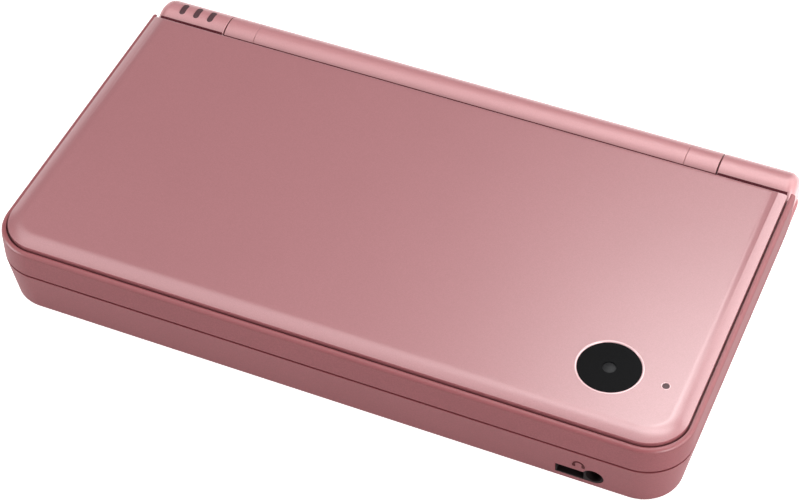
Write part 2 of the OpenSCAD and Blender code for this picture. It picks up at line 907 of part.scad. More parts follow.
module base_top_shell() {
  color([0.92, 0.91, 0.89])
    difference() {
      union() {
        intersection() {
          slab([
            [taper_inset(face_under) + wall + shell_gap, face_under],
            [taper_inset(face_z) + wall + shell_gap, face_z]
          ]);
          in_front_of(trough_front + 1);
        }
        // Trough that the lid barrel turns in, and the saddles under the housings
        span([-knuckle_x, trough_front, trough_under], [knuckle_x, trough_back, face_z]);
        both_sides()
          span([knuckle_x - bite, trough_front, trough_under],
            [body_w / 2 - 6, trough_back - 1, back_lip_z - fit_gap]);
        case_screw_posts(floor_top + 0.7, face_under + bite, boss_r);
      }
      hinge_rod(-knuckle_x - past, knuckle_x + past, sweep_r);
      span([-body_w, hinge_y, back_lip_z - fit_gap], [body_w, body_d, closed_h]);
      case_screw_posts(0, face_under - 1, screw_r);
      pad(0, screen_y, screen_w, screen_d, screen_r, 0, closed_h);
      pad_cross(button_gap + 0.1, face_under - past, closed_h);
      face_button_places()
        cylinder(h = closed_h, r = button_r + button_gap);
      for (y = [start_y, select_y])
        post(small_x, y, 0, closed_h, small_button_r + button_gap);
      post(-small_x, power_button_y, 0, closed_h, small_button_r + button_gap);
      pivot_posts(0, trough_under + 0.8);
      strap_post();
    }
}

// Outline of a housing from the hinge axis outwards, along the axis and round its end
module housing_outline() {
  length = barrel_x - knuckle_x - knuckle_gap;
  square([hinge_r, length - barrel_end_r]);
  square([hinge_r - barrel_end_r, length]);
  translate([hinge_r - barrel_end_r, length - barrel_end_r])
    circle(barrel_end_r);
}

// One hinge housing of the base, on the right, solid
module housing_block() {
  start = knuckle_x + knuckle_gap;
  intersection() {
    slab([[taper_inset(back_lip_z), back_lip_z], [0, base_top]]);
    span([start, lid_back_y + hinge_gap, back_lip_z], [body_w, body_d, base_top]);
  }
  translate([start, hinge_y, base_top])
    linear_extrude(hinge_z - base_top)
      rotate([0, 0, -90])
        union() {
          housing_outline();
          mirror([1, 0, 0])
            housing_outline();
        }
  translate([start, hinge_y, hinge_z])
    rotate([0, 90, 0])
      rotate([0, 0, 90])
        rotate_extrude(angle = 180)
          housing_outline();
}

// Everything below the flat seat of the hinge housings
module below_seat() {
  span([-body_w, 0, -past], [body_w, body_d, back_lip_z]);
}

// Openings for the status lights, or the lights themselves, round the left housing
module light_slots(grow, depth) {
  for (i = [0 : led_count - 1])
    translate([-barrel_x + light_end + i * light_pitch, hinge_y, hinge_z])
      rotate([light_lean, 0, 0])
        intersection() {
          rotate([0, 90, 0])
            difference() {
              cylinder(h = 10, r = hinge_r - 0.04 + grow, center = true);
              cylinder(h = 11, r = hinge_r - depth, center = true);
            }
          linear_extrude(2 * hinge_r) {
            square([light_w + 2 * grow, light_l - light_w], center = true);
            for (side = [-1, 1])
              translate([0, side * (light_l - light_w) / 2])
                circle(light_w / 2 + grow);
          }
        }
}

module left_hinge_housing() {
  start = knuckle_x + knuckle_gap;
  color([0.86, 0.64, 0.65])
    difference() {
      mirror([1, 0, 0])
        housing_block();
      hinge_rod(-start - bearing_l, -start + past, bush_r + bearing_gap);
      hinge_rod(-barrel_x + barrel_end_r + 0.5, -start - bearing_l / 2, hinge_r - 1.4);
      below_seat();
      light_slots(bearing_gap, 1.5);
    }
}

module right_hinge_housing() {
  start = knuckle_x + knuckle_gap;
  color([0.86, 0.64, 0.65])
    difference() {
      housing_block();
      hinge_rod(start - past, start + bearing_l + 0.3, shaft_r + bearing_gap);
      below_seat();
    }
}

module status_windows() {
  color([0.27, 0.18, 0.2])
    light_slots(0, 1.2);
}

module battery_cover() {
  color([0.6, 0.38, 0.41])
    difference() {
      pad(-battery_x, cover_y, cover_w - 2 * fit_gap, cover_d - 2 * fit_gap, 1.5,
        base_bottom, floor_top - 0.25);
      cover_screw_sites() {
        post(0, 0, 0, closed_h, screw_r + fit_gap);
        post(0, 0, 0, base_bottom + screw_head_t + 0.05, screw_head_r + fit_gap);
      }
    }
}

module battery_cover_screws() {
  color([0.7, 0.7, 0.72])
    cover_screw_sites()
      difference() {
        union() {
          post(0, 0, base_bottom + 0.05, base_bottom + 0.05 + screw_head_t, screw_head_r);
          post(0, 0, base_bottom + 0.1, board_z - 1.9, screw_r);
        }
        cross_slot(base_bottom + 0.35);
      }
}

module battery_pack() {
  color([0.25, 0.25, 0.27])
    pad(-battery_x, cover_y, battery_w, battery_d, 2, battery_z, battery_z + battery_t);
}

module case_screws() {
  color([0.4, 0.4, 0.42])
    difference() {
      union() {
        case_screw_posts(base_bottom + 0.25, base_bottom + 0.25 + screw_head_t, screw_head_r);
        case_screw_posts(base_bottom + 0.3, face_under - 1.4, screw_r);
      }
      case_screw_sites()
        cross_slot(base_bottom + 0.6);
    }
}

// The cross in a screw head, up to a height
module cross_slot(high) {
  for (a = [0, 90])
    rotate([0, 0, a])
      translate([-1, -0.2, 0])
        cube([2, 0.4, high]);
}

module rubber_feet() {
  color([0.2, 0.2, 0.2])
    foot_posts(0, base_bottom + 0.7, foot_r);
}

module touch_glass() {
  color([0.12, 0.13, 0.15])
    screen_glass(face_under + 0.05, face_z - 0.15);
}

module lower_screen_panel() {
  color([0.2, 0.22, 0.25])
    pad(0, screen_y, panel_w, panel_d, 0.8, panel_top - panel_t, panel_top);
}

module main_board() {
  left = -battery_x + battery_w / 2 + 5;
  right = body_w / 2 - 9.5;
  back = trough_front - 0.3;
  color([0.1, 0.3, 0.18])
    union() {
      span([left, board_front, board_z], [right, back, board_top]);
      span([-controls_x + pad_board_w / 2 + 5.5, battery_d / 2 + cover_y + 3, board_z],
        [left + bite, back, board_top]);
    }
}

module d_pad_board() {
  color([0.1, 0.3, 0.18])
    pad(-controls_x, controls_y - 9, pad_board_w, pad_board_d, 1, board_z, board_top);
}

module card_socket() {
  left = card_x - card_w / 2;
  right = card_x + card_w / 2;
  skin = 0.4;
  color([0.75, 0.75, 0.73])
    difference() {
      span([left - 1, socket_back - card_d, card_z - skin], [right + 1, socket_back, card_z + card_h + skin]);
      span([left, socket_back - card_d + 2, card_z], [right, body_d, card_z + card_h]);
    }
}

module sd_socket() {
  mouth = body_w / 2 - 4.6;
  depth = 25;
  color([0.75, 0.75, 0.73])
    translate([0, sd_y, sd_z + sd_h / 2])
      difference() {
        side_bar(mouth - depth - 1, mouth, sd_w + 1.8, sd_h + 1);
        side_bar(mouth - depth, mouth + past, sd_w, sd_h);
      }
}

module power_jack() {
  left = power_x - power_w / 2;
  right = power_x + power_w / 2;
  top = power_z + power_h;
  depth = 9;
  tongue_side = 1.6;
  tongue_low = 1.3;
  color([0.12, 0.12, 0.12])
    difference() {
      span([left - 1, socket_back - depth - 2, power_z - 0.6], [right + 1, socket_back, top + 0.6]);
      difference() {
        span([left, socket_back - depth, power_z], [right, body_d, top]);
        span([left + tongue_side, socket_back - depth - 1, power_z + tongue_low],
          [right - tongue_side, socket_back - 1.5, top - tongue_low]);
      }
    }
}

module headphone_jack() {
  front = -body_d / 2 + wall + taper_inset(floor_top) + 0.3;
  color([0.1, 0.1, 0.1])
    difference() {
      span([jack_x - headset_w - 1, front, jack_z - jack_r - 0.6],
        [jack_x + jack_r + 1.2, front + jack_depth + 0.6, jack_z + jack_r + 0.6]);
      translate([jack_x, front + jack_depth, jack_z])
        rotate([90, 0, 0])
          cylinder(h = jack_depth + past, r = jack_r);
      span([jack_x - headset_w, -body_d, headset_z],
        [jack_x - jack_r - 0.6, front + 6, headset_z + headset_h]);
    }
}

module radio_module() {
  color([0.15, 0.35, 0.45])
    pad(radio_x, radio_y, 16, 20, 0.6, board_z - 1.6, board_z);
}

module face_button_mat() {
  color([0.8, 0.8, 0.78])
    union() {
      pad(controls_x, controls_y, 2 * button_ring + 3.2, 2 * button_ring + 9.2, 3,
        board_top, board_top + mat_t);
      face_button_places()
        post(0, 0, board_top + mat_t - bite, board_top + mat_t + dome_h, button_r - 1);
    }
}

module d_pad_mat() {
  color([0.8, 0.8, 0.78])
    pad(-controls_x, controls_y, pad_w, pad_w + 1, 3, board_top, board_top + mat_t);
}

module trigger_pins() {
  color([0.7, 0.7, 0.72])
    pivot_posts(floor_top - 0.6, trough_under + 0.7);
}

module strap_bar() {
  color([0.7, 0.7, 0.72])
    strap_post();
}

// ---- controls ----

module d_pad() {
  flange_z = pad_pivot_z + 0.02;
  color([0.93, 0.92, 0.9])
    difference() {
      union() {
        pad_cross(0, flange_z, face_z + button_h - 0.1);
        post(-controls_x, controls_y, flange_z, flange_z + 0.5, pad_w / 2 + 0.4);
      }
      translate([-controls_x, controls_y, face_z + button_h + 9.4])
        sphere(r = 10);
    }
}

module d_pad_pivot() {
  nub_r = 1.5;
  low = board_top + mat_t + 0.12;
  color([0.8, 0.8, 0.78])
    translate([-controls_x, controls_y, 0])
      rotate_extrude()
        polygon([
          [0, low], [nub_r - 0.4, low], [nub_r, low + 0.1], [nub_r, pad_pivot_z - 0.3],
          [0.4, pad_pivot_z], [0, pad_pivot_z]
        ]);
}

module face_button(angle) {
  low = board_top + mat_t + dome_h + button_travel + 0.05;
  translate([controls_x + button_ring * cos(angle), controls_y + button_ring * sin(angle), 0])
    round_button(button_r, low);
}

// A round button with a flange below and a soft top edge
module round_button(r, low) {
  top = face_z + button_h;
  rotate_extrude()
    polygon(concat(
      [[0, low], [r + 0.5, low], [r + 0.5, face_under - 0.1], [r, face_under - 0.1]],
      arc([r - 0.5, top - 0.5], 0.5, 0, 90, 5),
      [[0, top]]
    ));
}

module a_button() {
  color([0.93, 0.92, 0.9])
    face_button(0);
}

module x_button() {
  color([0.93, 0.92, 0.9])
    face_button(90);
}

module y_button() {
  color([0.93, 0.92, 0.9])
    face_button(180);
}

module b_button() {
  color([0.93, 0.92, 0.9])
    face_button(270);
}

module small_button(x, y) {
  translate([x, y, 0])
    round_button(small_button_r, board_top + button_travel + 0.2);
}

module start_button() {
  color([0.93, 0.92, 0.9])
    small_button(small_x, start_y);
}

module select_button() {
  color([0.93, 0.92, 0.9])
    small_button(small_x, select_y);
}

module power_button() {
  color([0.93, 0.92, 0.9])
    small_button(-small_x, power_button_y);
}

module volume_button(side) {
  outer = -body_w / 2 + taper_inset(volume_z) - volume_travel;
  flange = outer + wall + volume_travel + 0.35;
  color([0.62, 0.4, 0.43])
    translate([0, volume_y + side * volume_pitch / 2, volume_z]) {
      side_bar(outer, flange + 0.25, volume_w, volume_h);
      side_bar(flange, flange + 0.6, volume_w + 1, volume_h + 1);
    }
}

module volume_up_button() {
  volume_button(1);
}

module volume_down_button() {
  volume_button(-1);
}

// The right trigger: a strip of the base's own corner on a pivot boss
module trigger() {
  difference() {
    union() {
      difference() {
        intersection() {
          base_block();
          span([trigger_x, trigger_front, trigger_z], [body_w, body_d, trigger_z + trigger_h]);
        }
        inner_block(taper_inset(trigger_z) + trigger_t, 0, closed_h);
      }
      post(pivot_x, pivot_y, trigger_z, trigger_z + trigger_h, trigger_pin_r + 0.9);
    }
    post(pivot_x, pivot_y, 0, closed_h, trigger_pin_r + bearing_gap);
  }
}

module right_trigger() {
  color([0.62, 0.4, 0.43])
    trigger();
}

module left_trigger() {
  color([0.62, 0.4, 0.43])
    mirror([1, 0, 0])
      trigger();
}

module stylus() {
  end_x = body_w / 2 - taper_inset(stylus_z);
  tip_l = 7;
  side_view = [
    [0, 0], [stylus_tip_r, 0], [stylus_tip_r, 1.5],
    [stylus_r, tip_l], [stylus_r, stylus_l], [0, stylus_l]
  ];
  color([0.62, 0.4, 0.43])
    intersection() {
      translate([end_x - stylus_l + 1, stylus_y, stylus_z])
        rotate([0, 90, 0])
          rotate_extrude()
            polygon(side_view);
      base_block();
    }
}

module sd_door() {
  color([0.62, 0.4, 0.43])
    intersection() {
      base_block();
      translate([0, sd_y, sd_door_z + sd_door_h / 2])
        side_bar(body_w / 2 - 2.9, body_w / 2, sd_door_w, sd_door_h);
    }
}

lid_cover();
lid_frame();
lid_bezel();
hinge_cover();
upper_screen_window();
upper_screen_panel();
left_speaker();
right_speaker();
camera_window();
camera_lens();
camera_module();
camera_indicator();
inner_camera_window();
inner_camera_module();
microphone();
lid_magnet();
lid_screws();
lid_bumpers();
hinge_click_unit();
hinge_bush();
screen_ribbon();
base_bottom_shell();
base_top_shell();
left_hinge_housing();
right_hinge_housing();
status_windows();
battery_cover();
battery_cover_screws();
battery_pack();
case_screws();
rubber_feet();
touch_glass();
lower_screen_panel();
main_board();
d_pad_board();
card_socket();
sd_socket();
power_jack();
headphone_jack();
radio_module();
face_button_mat();
d_pad_mat();
trigger_pins();
strap_bar();
d_pad();
d_pad_pivot();
a_button();
b_button();
x_button();
y_button();
start_button();
select_button();
power_button();
volume_up_button();
volume_down_button();
left_trigger();
right_trigger();
stylus();
sd_door();
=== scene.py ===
import json
from math import pi, radians, sqrt, tan
import bpy
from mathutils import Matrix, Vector


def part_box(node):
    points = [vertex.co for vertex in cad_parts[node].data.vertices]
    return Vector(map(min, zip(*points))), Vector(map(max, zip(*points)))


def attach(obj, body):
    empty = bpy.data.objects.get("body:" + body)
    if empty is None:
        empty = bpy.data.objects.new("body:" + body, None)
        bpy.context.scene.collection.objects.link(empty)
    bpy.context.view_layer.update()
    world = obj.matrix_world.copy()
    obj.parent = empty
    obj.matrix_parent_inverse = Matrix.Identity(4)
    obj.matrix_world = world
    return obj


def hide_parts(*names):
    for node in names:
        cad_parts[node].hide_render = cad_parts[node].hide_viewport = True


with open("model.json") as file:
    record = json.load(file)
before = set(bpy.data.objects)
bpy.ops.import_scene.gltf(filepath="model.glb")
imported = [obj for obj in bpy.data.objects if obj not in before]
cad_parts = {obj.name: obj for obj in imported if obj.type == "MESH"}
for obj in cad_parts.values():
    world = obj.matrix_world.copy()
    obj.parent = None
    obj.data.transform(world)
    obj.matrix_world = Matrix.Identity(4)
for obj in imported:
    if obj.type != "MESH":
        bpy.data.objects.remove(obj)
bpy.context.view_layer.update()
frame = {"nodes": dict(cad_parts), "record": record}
print("frame loaded:", len(frame["nodes"]), "nodes")

# Pieces are modelled in millimetres and brought to metres when they are finished
millimetre = 0.001
# Cutters and trims reach this far past the case, sideways and upwards
far = 90
above = 40

case = {
    "frontCorner": 10.6,
    "backCorner": 6.0,
    "cornerSteps": 20,
    "wallLean": radians(8.6),
    "baseTop": 12.2,
    "lidBottom": 12.6,
    "hingeRadius": 5.72, "hingeGap": 0.4, "hingeHeight": 14.07, "hingeRoom": 0.3,
    "stayInside": 0.02,
    "trimBottom": 0.5,
}


def nodeBox(node):  # lowest and highest corner of a node, in millimetres
    low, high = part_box(node)
    return low / millimetre, high / millimetre


def nodeMiddle(node):
    low, high = nodeBox(node)
    return (low + high) / 2


def nodeRadius(node):  # of a round node that stands upright
    low, high = nodeBox(node)
    return (high.x - low.x) / 2


def frameMount(name):  # the place of a mount, in millimetres
    for mount in frame["record"]["mounts"]:
        if mount["name"] == name:
            return Vector(mount["pos_m"]) / millimetre


def cornerPlaces(node, reach):  # four places, set in from the corners of a node's box
    low, high = nodeBox(node)
    return [(x, y) for x in (low.x + reach, high.x - reach) for y in (low.y + reach, high.y - reach)]


def camelName(node):
    first, *others = node.split("_")
    return first + "".join(word.capitalize() for word in others)


shellLow, shellHigh = nodeBox("base_bottom_shell")
halfWidth = shellHigh.x
halfDepth = -shellLow.y
bottom = shellLow.z
hingeY = halfDepth - case["hingeRadius"]
lidBack = hingeY - case["hingeRadius"] - case["hingeGap"]


def openMesh():
    bpy.ops.object.mode_set(mode="EDIT")


def closeMesh():
    bpy.ops.object.mode_set(mode="OBJECT")


def selectWhole():
    bpy.ops.mesh.select_all(action="SELECT")


def clearSelection():
    if bpy.context.object and bpy.context.object.mode != "OBJECT":
        closeMesh()
    bpy.ops.object.select_all(action="DESELECT")


def makeActive(piece):
    clearSelection()
    piece.select_set(True)
    bpy.context.view_layer.objects.active = piece


def settle(name=None):  # works the place, turn and scale of the active piece into its mesh
    piece = bpy.context.object
    if name:
        piece.name = name
    bpy.ops.object.transform_apply(location=True, rotation=True, scale=True)
    return piece


def startBlock(name, low, high):
    clearSelection()
    middle = [(a + b) / 2 for a, b in zip(low, high)]
    size = [b - a for a, b in zip(low, high)]
    bpy.ops.mesh.primitive_cube_add(size=1, location=middle, scale=size)
    return settle(name)


def startRod(name, axis, place, start, end, radius, sides=64):  # place gives the two other directions
    clearSelection()
    middle = list(place)
    middle.insert("XYZ".index(axis), (start + end) / 2)
    turn = {"X": (0, radians(90), 0), "Y": (radians(90), 0, 0), "Z": (0, 0, 0)}[axis]
    bpy.ops.mesh.primitive_cone_add(vertices=sides, radius1=radius, radius2=radius, depth=abs(end - start),
                                    location=middle, rotation=turn)
    return settle(name)


def sweepRod(start, end, radius, sides=96):  # round the axis of the lid's hinge
    return startRod("sweep", "X", (hingeY, case["hingeHeight"]), start, end, radius, sides)


def selectNothing(piece, kind):
    makeActive(piece)
    openMesh()
    bpy.ops.mesh.select_mode(type=kind)
    bpy.ops.mesh.select_all(action="DESELECT")
    closeMesh()


def selectEdges(piece, wanted):  # leaves the piece in edit mode with those edges selected
    selectNothing(piece, "EDGE")
    places = [vertex.co for vertex in piece.data.vertices]
    for edge in piece.data.edges:
        edge.select = wanted(places[edge.vertices[0]], places[edge.vertices[1]])
    openMesh()


def selectFaces(piece, wanted):  # leaves the piece in edit mode with those faces selected
    selectNothing(piece, "FACE")
    for face in piece.data.polygons:
        face.select = wanted(face.normal)
    openMesh()


def bevelEdges(piece, wanted, width, steps=4):
    selectEdges(piece, wanted)
    bpy.ops.mesh.bevel(offset=width, segments=steps, affect="EDGES", clamp_overlap=False)
    closeMesh()


def isUpright(a, b):
    return abs(a.x - b.x) < 0.01 and abs(a.y - b.y) < 0.01 and abs(a.z - b.z) > 0.01


def runsAcross(a, b):  # edges with some length from left to right
    return abs(a.x - b.x) > 0.01


def atHeight(z):
    return lambda a, b: abs(a.z - z) < 0.002 and abs(b.z - z) < 0.002


def atFront(z, back):  # edges at a height, but not those along the back
    return lambda a, b: atHeight(z)(a, b) and a.y + b.y < 2 * back - 0.01


def atAcross(*places):  # edges that lie in one of these upright planes
    return lambda a, b: any(abs(a.x - x) < 0.002 and abs(b.x - x) < 0.002 for x in places)


def fixNormals(piece):
    makeActive(piece)
    openMesh()
    selectWhole()
    bpy.ops.mesh.normals_make_consistent(inside=False)
    closeMesh()


def combine(piece, others, operation):
    for other in others:
        makeActive(piece)
        bpy.ops.object.modifier_add(type="BOOLEAN")
        step = piece.modifiers[-1]
        step.operation = operation
        step.solver = "EXACT"
        step.object = other
        bpy.ops.object.modifier_apply(modifier=step.name)
        bpy.data.objects.remove(other)


def cutAway(piece, *cutters):
    combine(piece, cutters, "DIFFERENCE")


def joinOn(piece, *others):
    combine(piece, others, "UNION")


def trimTo(piece, other):
    combine(piece, [other], "INTERSECT")


def joinParts(name, parts):  # parts that don't touch become one piece
    makeActive(parts[0])
    for part in parts:
        part.select_set(True)
    bpy.ops.object.join()
    parts[0].name = name
    return parts[0]


def mirrorPiece(piece, name):  # a copy on the other side of the middle
    twin = piece.copy()
    twin.data = piece.data.copy()
    bpy.context.scene.collection.objects.link(twin)
    makeActive(twin)
    twin.scale = (-1, 1, 1)
    settle(name)
    fixNormals(twin)
    return twin


def roundCorners(piece, front, back=0, steps=case["cornerSteps"]):
    depths = [vertex.co.y for vertex in piece.data.vertices]
    middle = (min(depths) + max(depths)) / 2
    for radius, side in ((front, -1), (back, 1)):
        if radius > 0:
            bevelEdges(piece, lambda a, b: isUpright(a, b) and (a.y - middle) * side > 0, radius, steps)


def padBlock(name, middle, size, corner, low, high, steps=6):  # a plate with rounded corners
    x, y = middle
    wide, deep = size
    piece = startBlock(name, (x - wide / 2, y - deep / 2, low), (x + wide / 2, y + deep / 2, high))
    roundCorners(piece, corner, corner, steps)
    return piece


def caseBlock(name, inset, low, high, back):  # follows the outline of the case, cut straight at the back
    half = halfWidth - inset
    piece = startBlock(name, (-half, inset - halfDepth, low), (half, back, high))
    roundCorners(piece, case["frontCorner"] - inset)
    return piece


def leanAt(z):  # how far the walls of the base stand in at a height
    return (case["baseTop"] - z) * tan(case["wallLean"])


def insetAt(corner):  # how far a node's highest corner stands in from the leaning wall
    return halfWidth - corner.x - leanAt(corner.z)


def leaningBlock(name, inset, low, high):  # the base's own form: walls lean in towards the bottom
    topInset = inset + leanAt(high)
    clearSelection()
    bpy.ops.mesh.primitive_plane_add(size=1, location=(0, 0, high))
    bpy.context.object.scale = (2 * (halfWidth - topInset), 2 * (halfDepth - topInset), 1)
    piece = settle(name)
    for radius, side in ((case["frontCorner"], -1), (case["backCorner"], 1)):
        selectNothing(piece, "VERT")
        for vertex in piece.data.vertices:
            vertex.select = vertex.co.y * side > halfDepth * 0.9
        openMesh()
        bpy.ops.mesh.bevel(offset=radius - topInset, segments=case["cornerSteps"], affect="VERTICES")
        closeMesh()
    openMesh()
    bpy.ops.mesh.select_mode(type="FACE")
    selectWhole()
    bpy.ops.mesh.inset(thickness=leanAt(low) - leanAt(high), depth=low - high, use_boundary=True)
    bpy.ops.mesh.select_all(action="DESELECT")
    bpy.ops.mesh.select_mode(type="EDGE")
    bpy.ops.mesh.select_non_manifold()
    bpy.ops.mesh.edge_face_add()
    fixNormals(piece)
    return piece


def keepInside(piece):  # trims a piece to just inside the walls of the base
    trimTo(piece, leaningBlock("outside", case["stayInside"], case["trimBottom"], case["baseTop"]))


def finishPiece(piece, look, body, slot, *replaced, smooth=32):
    makeActive(piece)
    openMesh()
    selectWhole()
    bpy.ops.mesh.remove_doubles(threshold=0.0005)
    bpy.ops.mesh.delete_loose()
    closeMesh()
    piece.scale = (millimetre, millimetre, millimetre)
    settle()
    bpy.ops.object.shade_smooth_by_angle(angle=radians(smooth))
    bpy.ops.object.modifier_add(type="WEIGHTED_NORMAL")
    piece.modifiers[-1].keep_sharp = True
    bpy.ops.object.modifier_apply(modifier=piece.modifiers[-1].name)
    piece.data.materials.clear()
    piece.data.materials.append(materials[look])
    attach(piece, body)
    if replaced:
        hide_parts(*replaced)


def shade(colour):  # from a colour as seen on a screen, 0 to 255
    def linear(value):
        share = value / 255
        return share / 12.92 if share <= 0.04045 else ((share + 0.055) / 1.055) ** 2.4
    return tuple(linear(value) for value in colour) + (1,)


def fillNode(tree, node, inputs):  # each input takes a plain value or another node's output
    for name, value in inputs.items():
        if isinstance(value, bpy.types.NodeSocket):
            tree.links.new(value, node.inputs[name])
        else:
            node.inputs[name].default_value = value


def addNode(tree, kind, inputs, **settings):
    node = tree.nodes.new("ShaderNode" + kind)
    for name, value in settings.items():
        setattr(node, name, value)
    fillNode(tree, node, inputs)
    return node


def mapped(tree, value, source, target=(0, 1)):  # brings a value from one range to another
    return addNode(tree, "MapRange", {"Value": value, "From Min": source[0], "From Max": source[1],
                                      "To Min": target[0], "To Max": target[1]}).outputs["Result"]


def mixed(tree, share, first, second):
    return addNode(tree, "Mix", {"Factor": share, "A": first, "B": second},
                   data_type="RGBA").outputs["Result"]


skin = {
    "driftSize": 30,
    "grainDetail": 2,
    "driftDetail": 3,
    "grainRange": (0.35, 0.75),
    "driftRange": (0.45, 0.8), "driftShare": 0.35,
    "coatRange": (0.2, 0.65),
    # range of upward facing over which a painted highlight colour is mixed in
    "paintedHighlightRange": (0.3, 0.9),
    "bumpDepth": 0.25,
}


def skinMaterial(name, look):  # a moulded or painted surface with fine grain and slow drift of tone
    material = bpy.data.materials.new(name)
    material.use_nodes = True
    tree = material.node_tree
    place = addNode(tree, "TexCoord", {})
    grain, drift = (addNode(tree, "TexNoise", {"Vector": place.outputs["Object"], "Detail": detail,
                                               "Scale": 1 / (size * millimetre)}).outputs["Fac"]
                    for size, detail in ((look["grain"], skin["grainDetail"]),
                                         (skin["driftSize"], skin["driftDetail"])))
    tone = mixed(tree, mapped(tree, grain, skin["grainRange"]), shade(look["colour"]), shade(look["fleck"]))
    driftShare = look.get("driftShare", skin["driftShare"])
    tone = mixed(tree, mapped(tree, drift, skin["driftRange"], (0, driftShare)), tone, shade(look["deep"]))
    coat = look.get("coat", 0)
    if "coatTop" in look:  # faces that point up at rest carry the lacquer, and a painted highlight makes their colour lighter
        upward = addNode(tree, "SeparateXYZ", {"Vector": place.outputs["Normal"]}).outputs["Z"]
        coat = mapped(tree, upward, skin["coatRange"], (0, look["coatTop"]))
        tone = mixed(tree, mapped(tree, upward, skin["paintedHighlightRange"]), tone, shade(look["crest"]))
    bump = addNode(tree, "Bump", {"Height": grain, "Strength": look["bump"],
                                  "Distance": look["grain"] * millimetre * skin["bumpDepth"]})
    fillNode(tree, tree.nodes["Principled BSDF"], {
        "Base Color": tone,
        "Roughness": mapped(tree, grain, (0, 1), look["rough"]),
        "Normal": bump.outputs["Normal"],
        "Metallic": look.get("metallic", 0),
        "Specular IOR Level": look.get("specular", 0.5),
        "Coat Weight": coat,
        "Coat Roughness": look.get("coatRough", 0.1),
        "Coat IOR": look.get("coatIndex", 1.5),
    })
    return material


looks = {
    "roseSatin": {"colour": (152, 86, 91), "fleck": (164, 98, 103), "deep": (144, 78, 83),
                  "grain": 0.22, "rough": (0.4, 0.5), "metallic": 0.2, "bump": 0.06, "driftShare": 0.2,
                  "coat": 1.0, "coatRough": 0.28, "coatIndex": 2.1},
    "roseMatte": {"colour": (110, 46, 51), "fleck": (126, 62, 67), "deep": (100, 36, 41),
                  "grain": 0.3, "rough": (0.5, 0.66), "bump": 0.15, "driftShare": 0.3,
                  # the lighter colour on faces that point up is a painted highlight
                  "coatTop": 0.3, "crest": (136, 62, 67), "coatRough": 0.32, "coatIndex": 2.1},
    # the barrel's satin has a rougher lacquer, and its colour is painted lighter than the plate's as a
    # painted highlight on the round barrel
    "roseBarrelPaintedLighter": {"colour": (172, 102, 106), "fleck": (184, 114, 118), "deep": (164, 94, 98),
                   "grain": 0.22, "rough": (0.45, 0.55), "metallic": 0.2, "bump": 0.06, "driftShare": 0.2,
                   "coat": 1.0, "coatRough": 0.42, "coatIndex": 2.1},
    "pearlInside": {"colour": (204, 196, 194), "fleck": (212, 206, 204), "deep": (194, 184, 183),
                    "grain": 0.3, "rough": (0.42, 0.58), "bump": 0.12},
    "polishedEdge": {"colour": (226, 186, 188), "fleck": (234, 198, 200), "deep": (218, 176, 178),
                     "grain": 0.15, "rough": (0.25, 0.35), "metallic": 0.35, "bump": 0.03, "coat": 0.5},
    "glossBlack": {"colour": (13, 13, 14), "fleck": (17, 17, 18), "deep": (11, 11, 12),
                   "grain": 0.5, "rough": (0.3, 0.36), "bump": 0.02, "specular": 0.04},
    "screenGlass": {"colour": (22, 24, 27), "fleck": (27, 29, 32), "deep": (16, 18, 21),
                    "grain": 0.35, "rough": (0.12, 0.2), "bump": 0.02, "coat": 0.5, "coatRough": 0.08},
    "lensGlass": {"colour": (32, 32, 33), "fleck": (38, 38, 39), "deep": (26, 27, 30),
                  "grain": 0.4, "rough": (0.3, 0.4), "bump": 0.02, "specular": 0.15},
    "smokedClear": {"colour": (72, 48, 52), "fleck": (84, 58, 62), "deep": (60, 38, 42),
                    "grain": 0.25, "rough": (0.25, 0.35), "bump": 0.03, "specular": 0.3},
    "blackPlastic": {"colour": (38, 37, 37), "fleck": (48, 47, 47), "deep": (30, 29, 29),
                     "grain": 0.3, "rough": (0.5, 0.65), "bump": 0.25},
    "socketBlack": {"colour": (26, 18, 19), "fleck": (32, 23, 24), "deep": (20, 14, 15),
                    "grain": 0.3, "rough": (0.6, 0.75), "bump": 0.2, "specular": 0.15},
    "boardGreen": {"colour": (28, 84, 52), "fleck": (42, 104, 66), "deep": (20, 66, 42),
                   "grain": 0.8, "rough": (0.3, 0.45), "bump": 0.15, "coat": 0.2},
    "plainSteel": {"colour": (150, 150, 154), "fleck": (176, 176, 180), "deep": (120, 120, 125),
                   "grain": 0.2, "rough": (0.25, 0.42), "metallic": 1.0, "bump": 0.1},
    "springSteel": {"colour": (184, 183, 180), "fleck": (202, 201, 198), "deep": (160, 158, 154),
                    "grain": 0.25, "rough": (0.22, 0.36), "metallic": 1.0, "bump": 0.08},
    "greyRubber": {"colour": (58, 57, 58), "fleck": (72, 71, 72), "deep": (46, 45, 46),
                   "grain": 0.35, "rough": (0.7, 0.88), "bump": 0.35},
    "paleRubber": {"colour": (206, 203, 200), "fleck": (216, 213, 210), "deep": (190, 186, 182),
                   "grain": 0.35, "rough": (0.62, 0.8), "bump": 0.3},
    "amberFilm": {"colour": (176, 112, 40), "fleck": (196, 134, 58), "deep": (146, 88, 28),
                  "grain": 0.6, "rough": (0.25, 0.4), "bump": 0.08, "coat": 0.3},
    "batteryWrap": {"colour": (52, 53, 56), "fleck": (62, 63, 66), "deep": (42, 43, 46),
                    "grain": 0.5, "rough": (0.35, 0.5), "bump": 0.1},
    # dark wine paint for the strips in the plate and barrel gap: painted shade
    "paintedGapShade": {"colour": (84, 34, 42), "fleck": (94, 42, 50), "deep": (72, 26, 34),
                "grain": 0.2, "rough": (0.6, 0.75), "bump": 0.15, "specular": 0.15},
    "printRed": {"colour": (58, 6, 10), "fleck": (68, 10, 14), "deep": (48, 4, 8),
                 "grain": 0.1, "rough": (0.6, 0.75), "bump": 0.1, "specular": 0.15},
}
materials = {name: skinMaterial(name, look) for name, look in looks.items()}

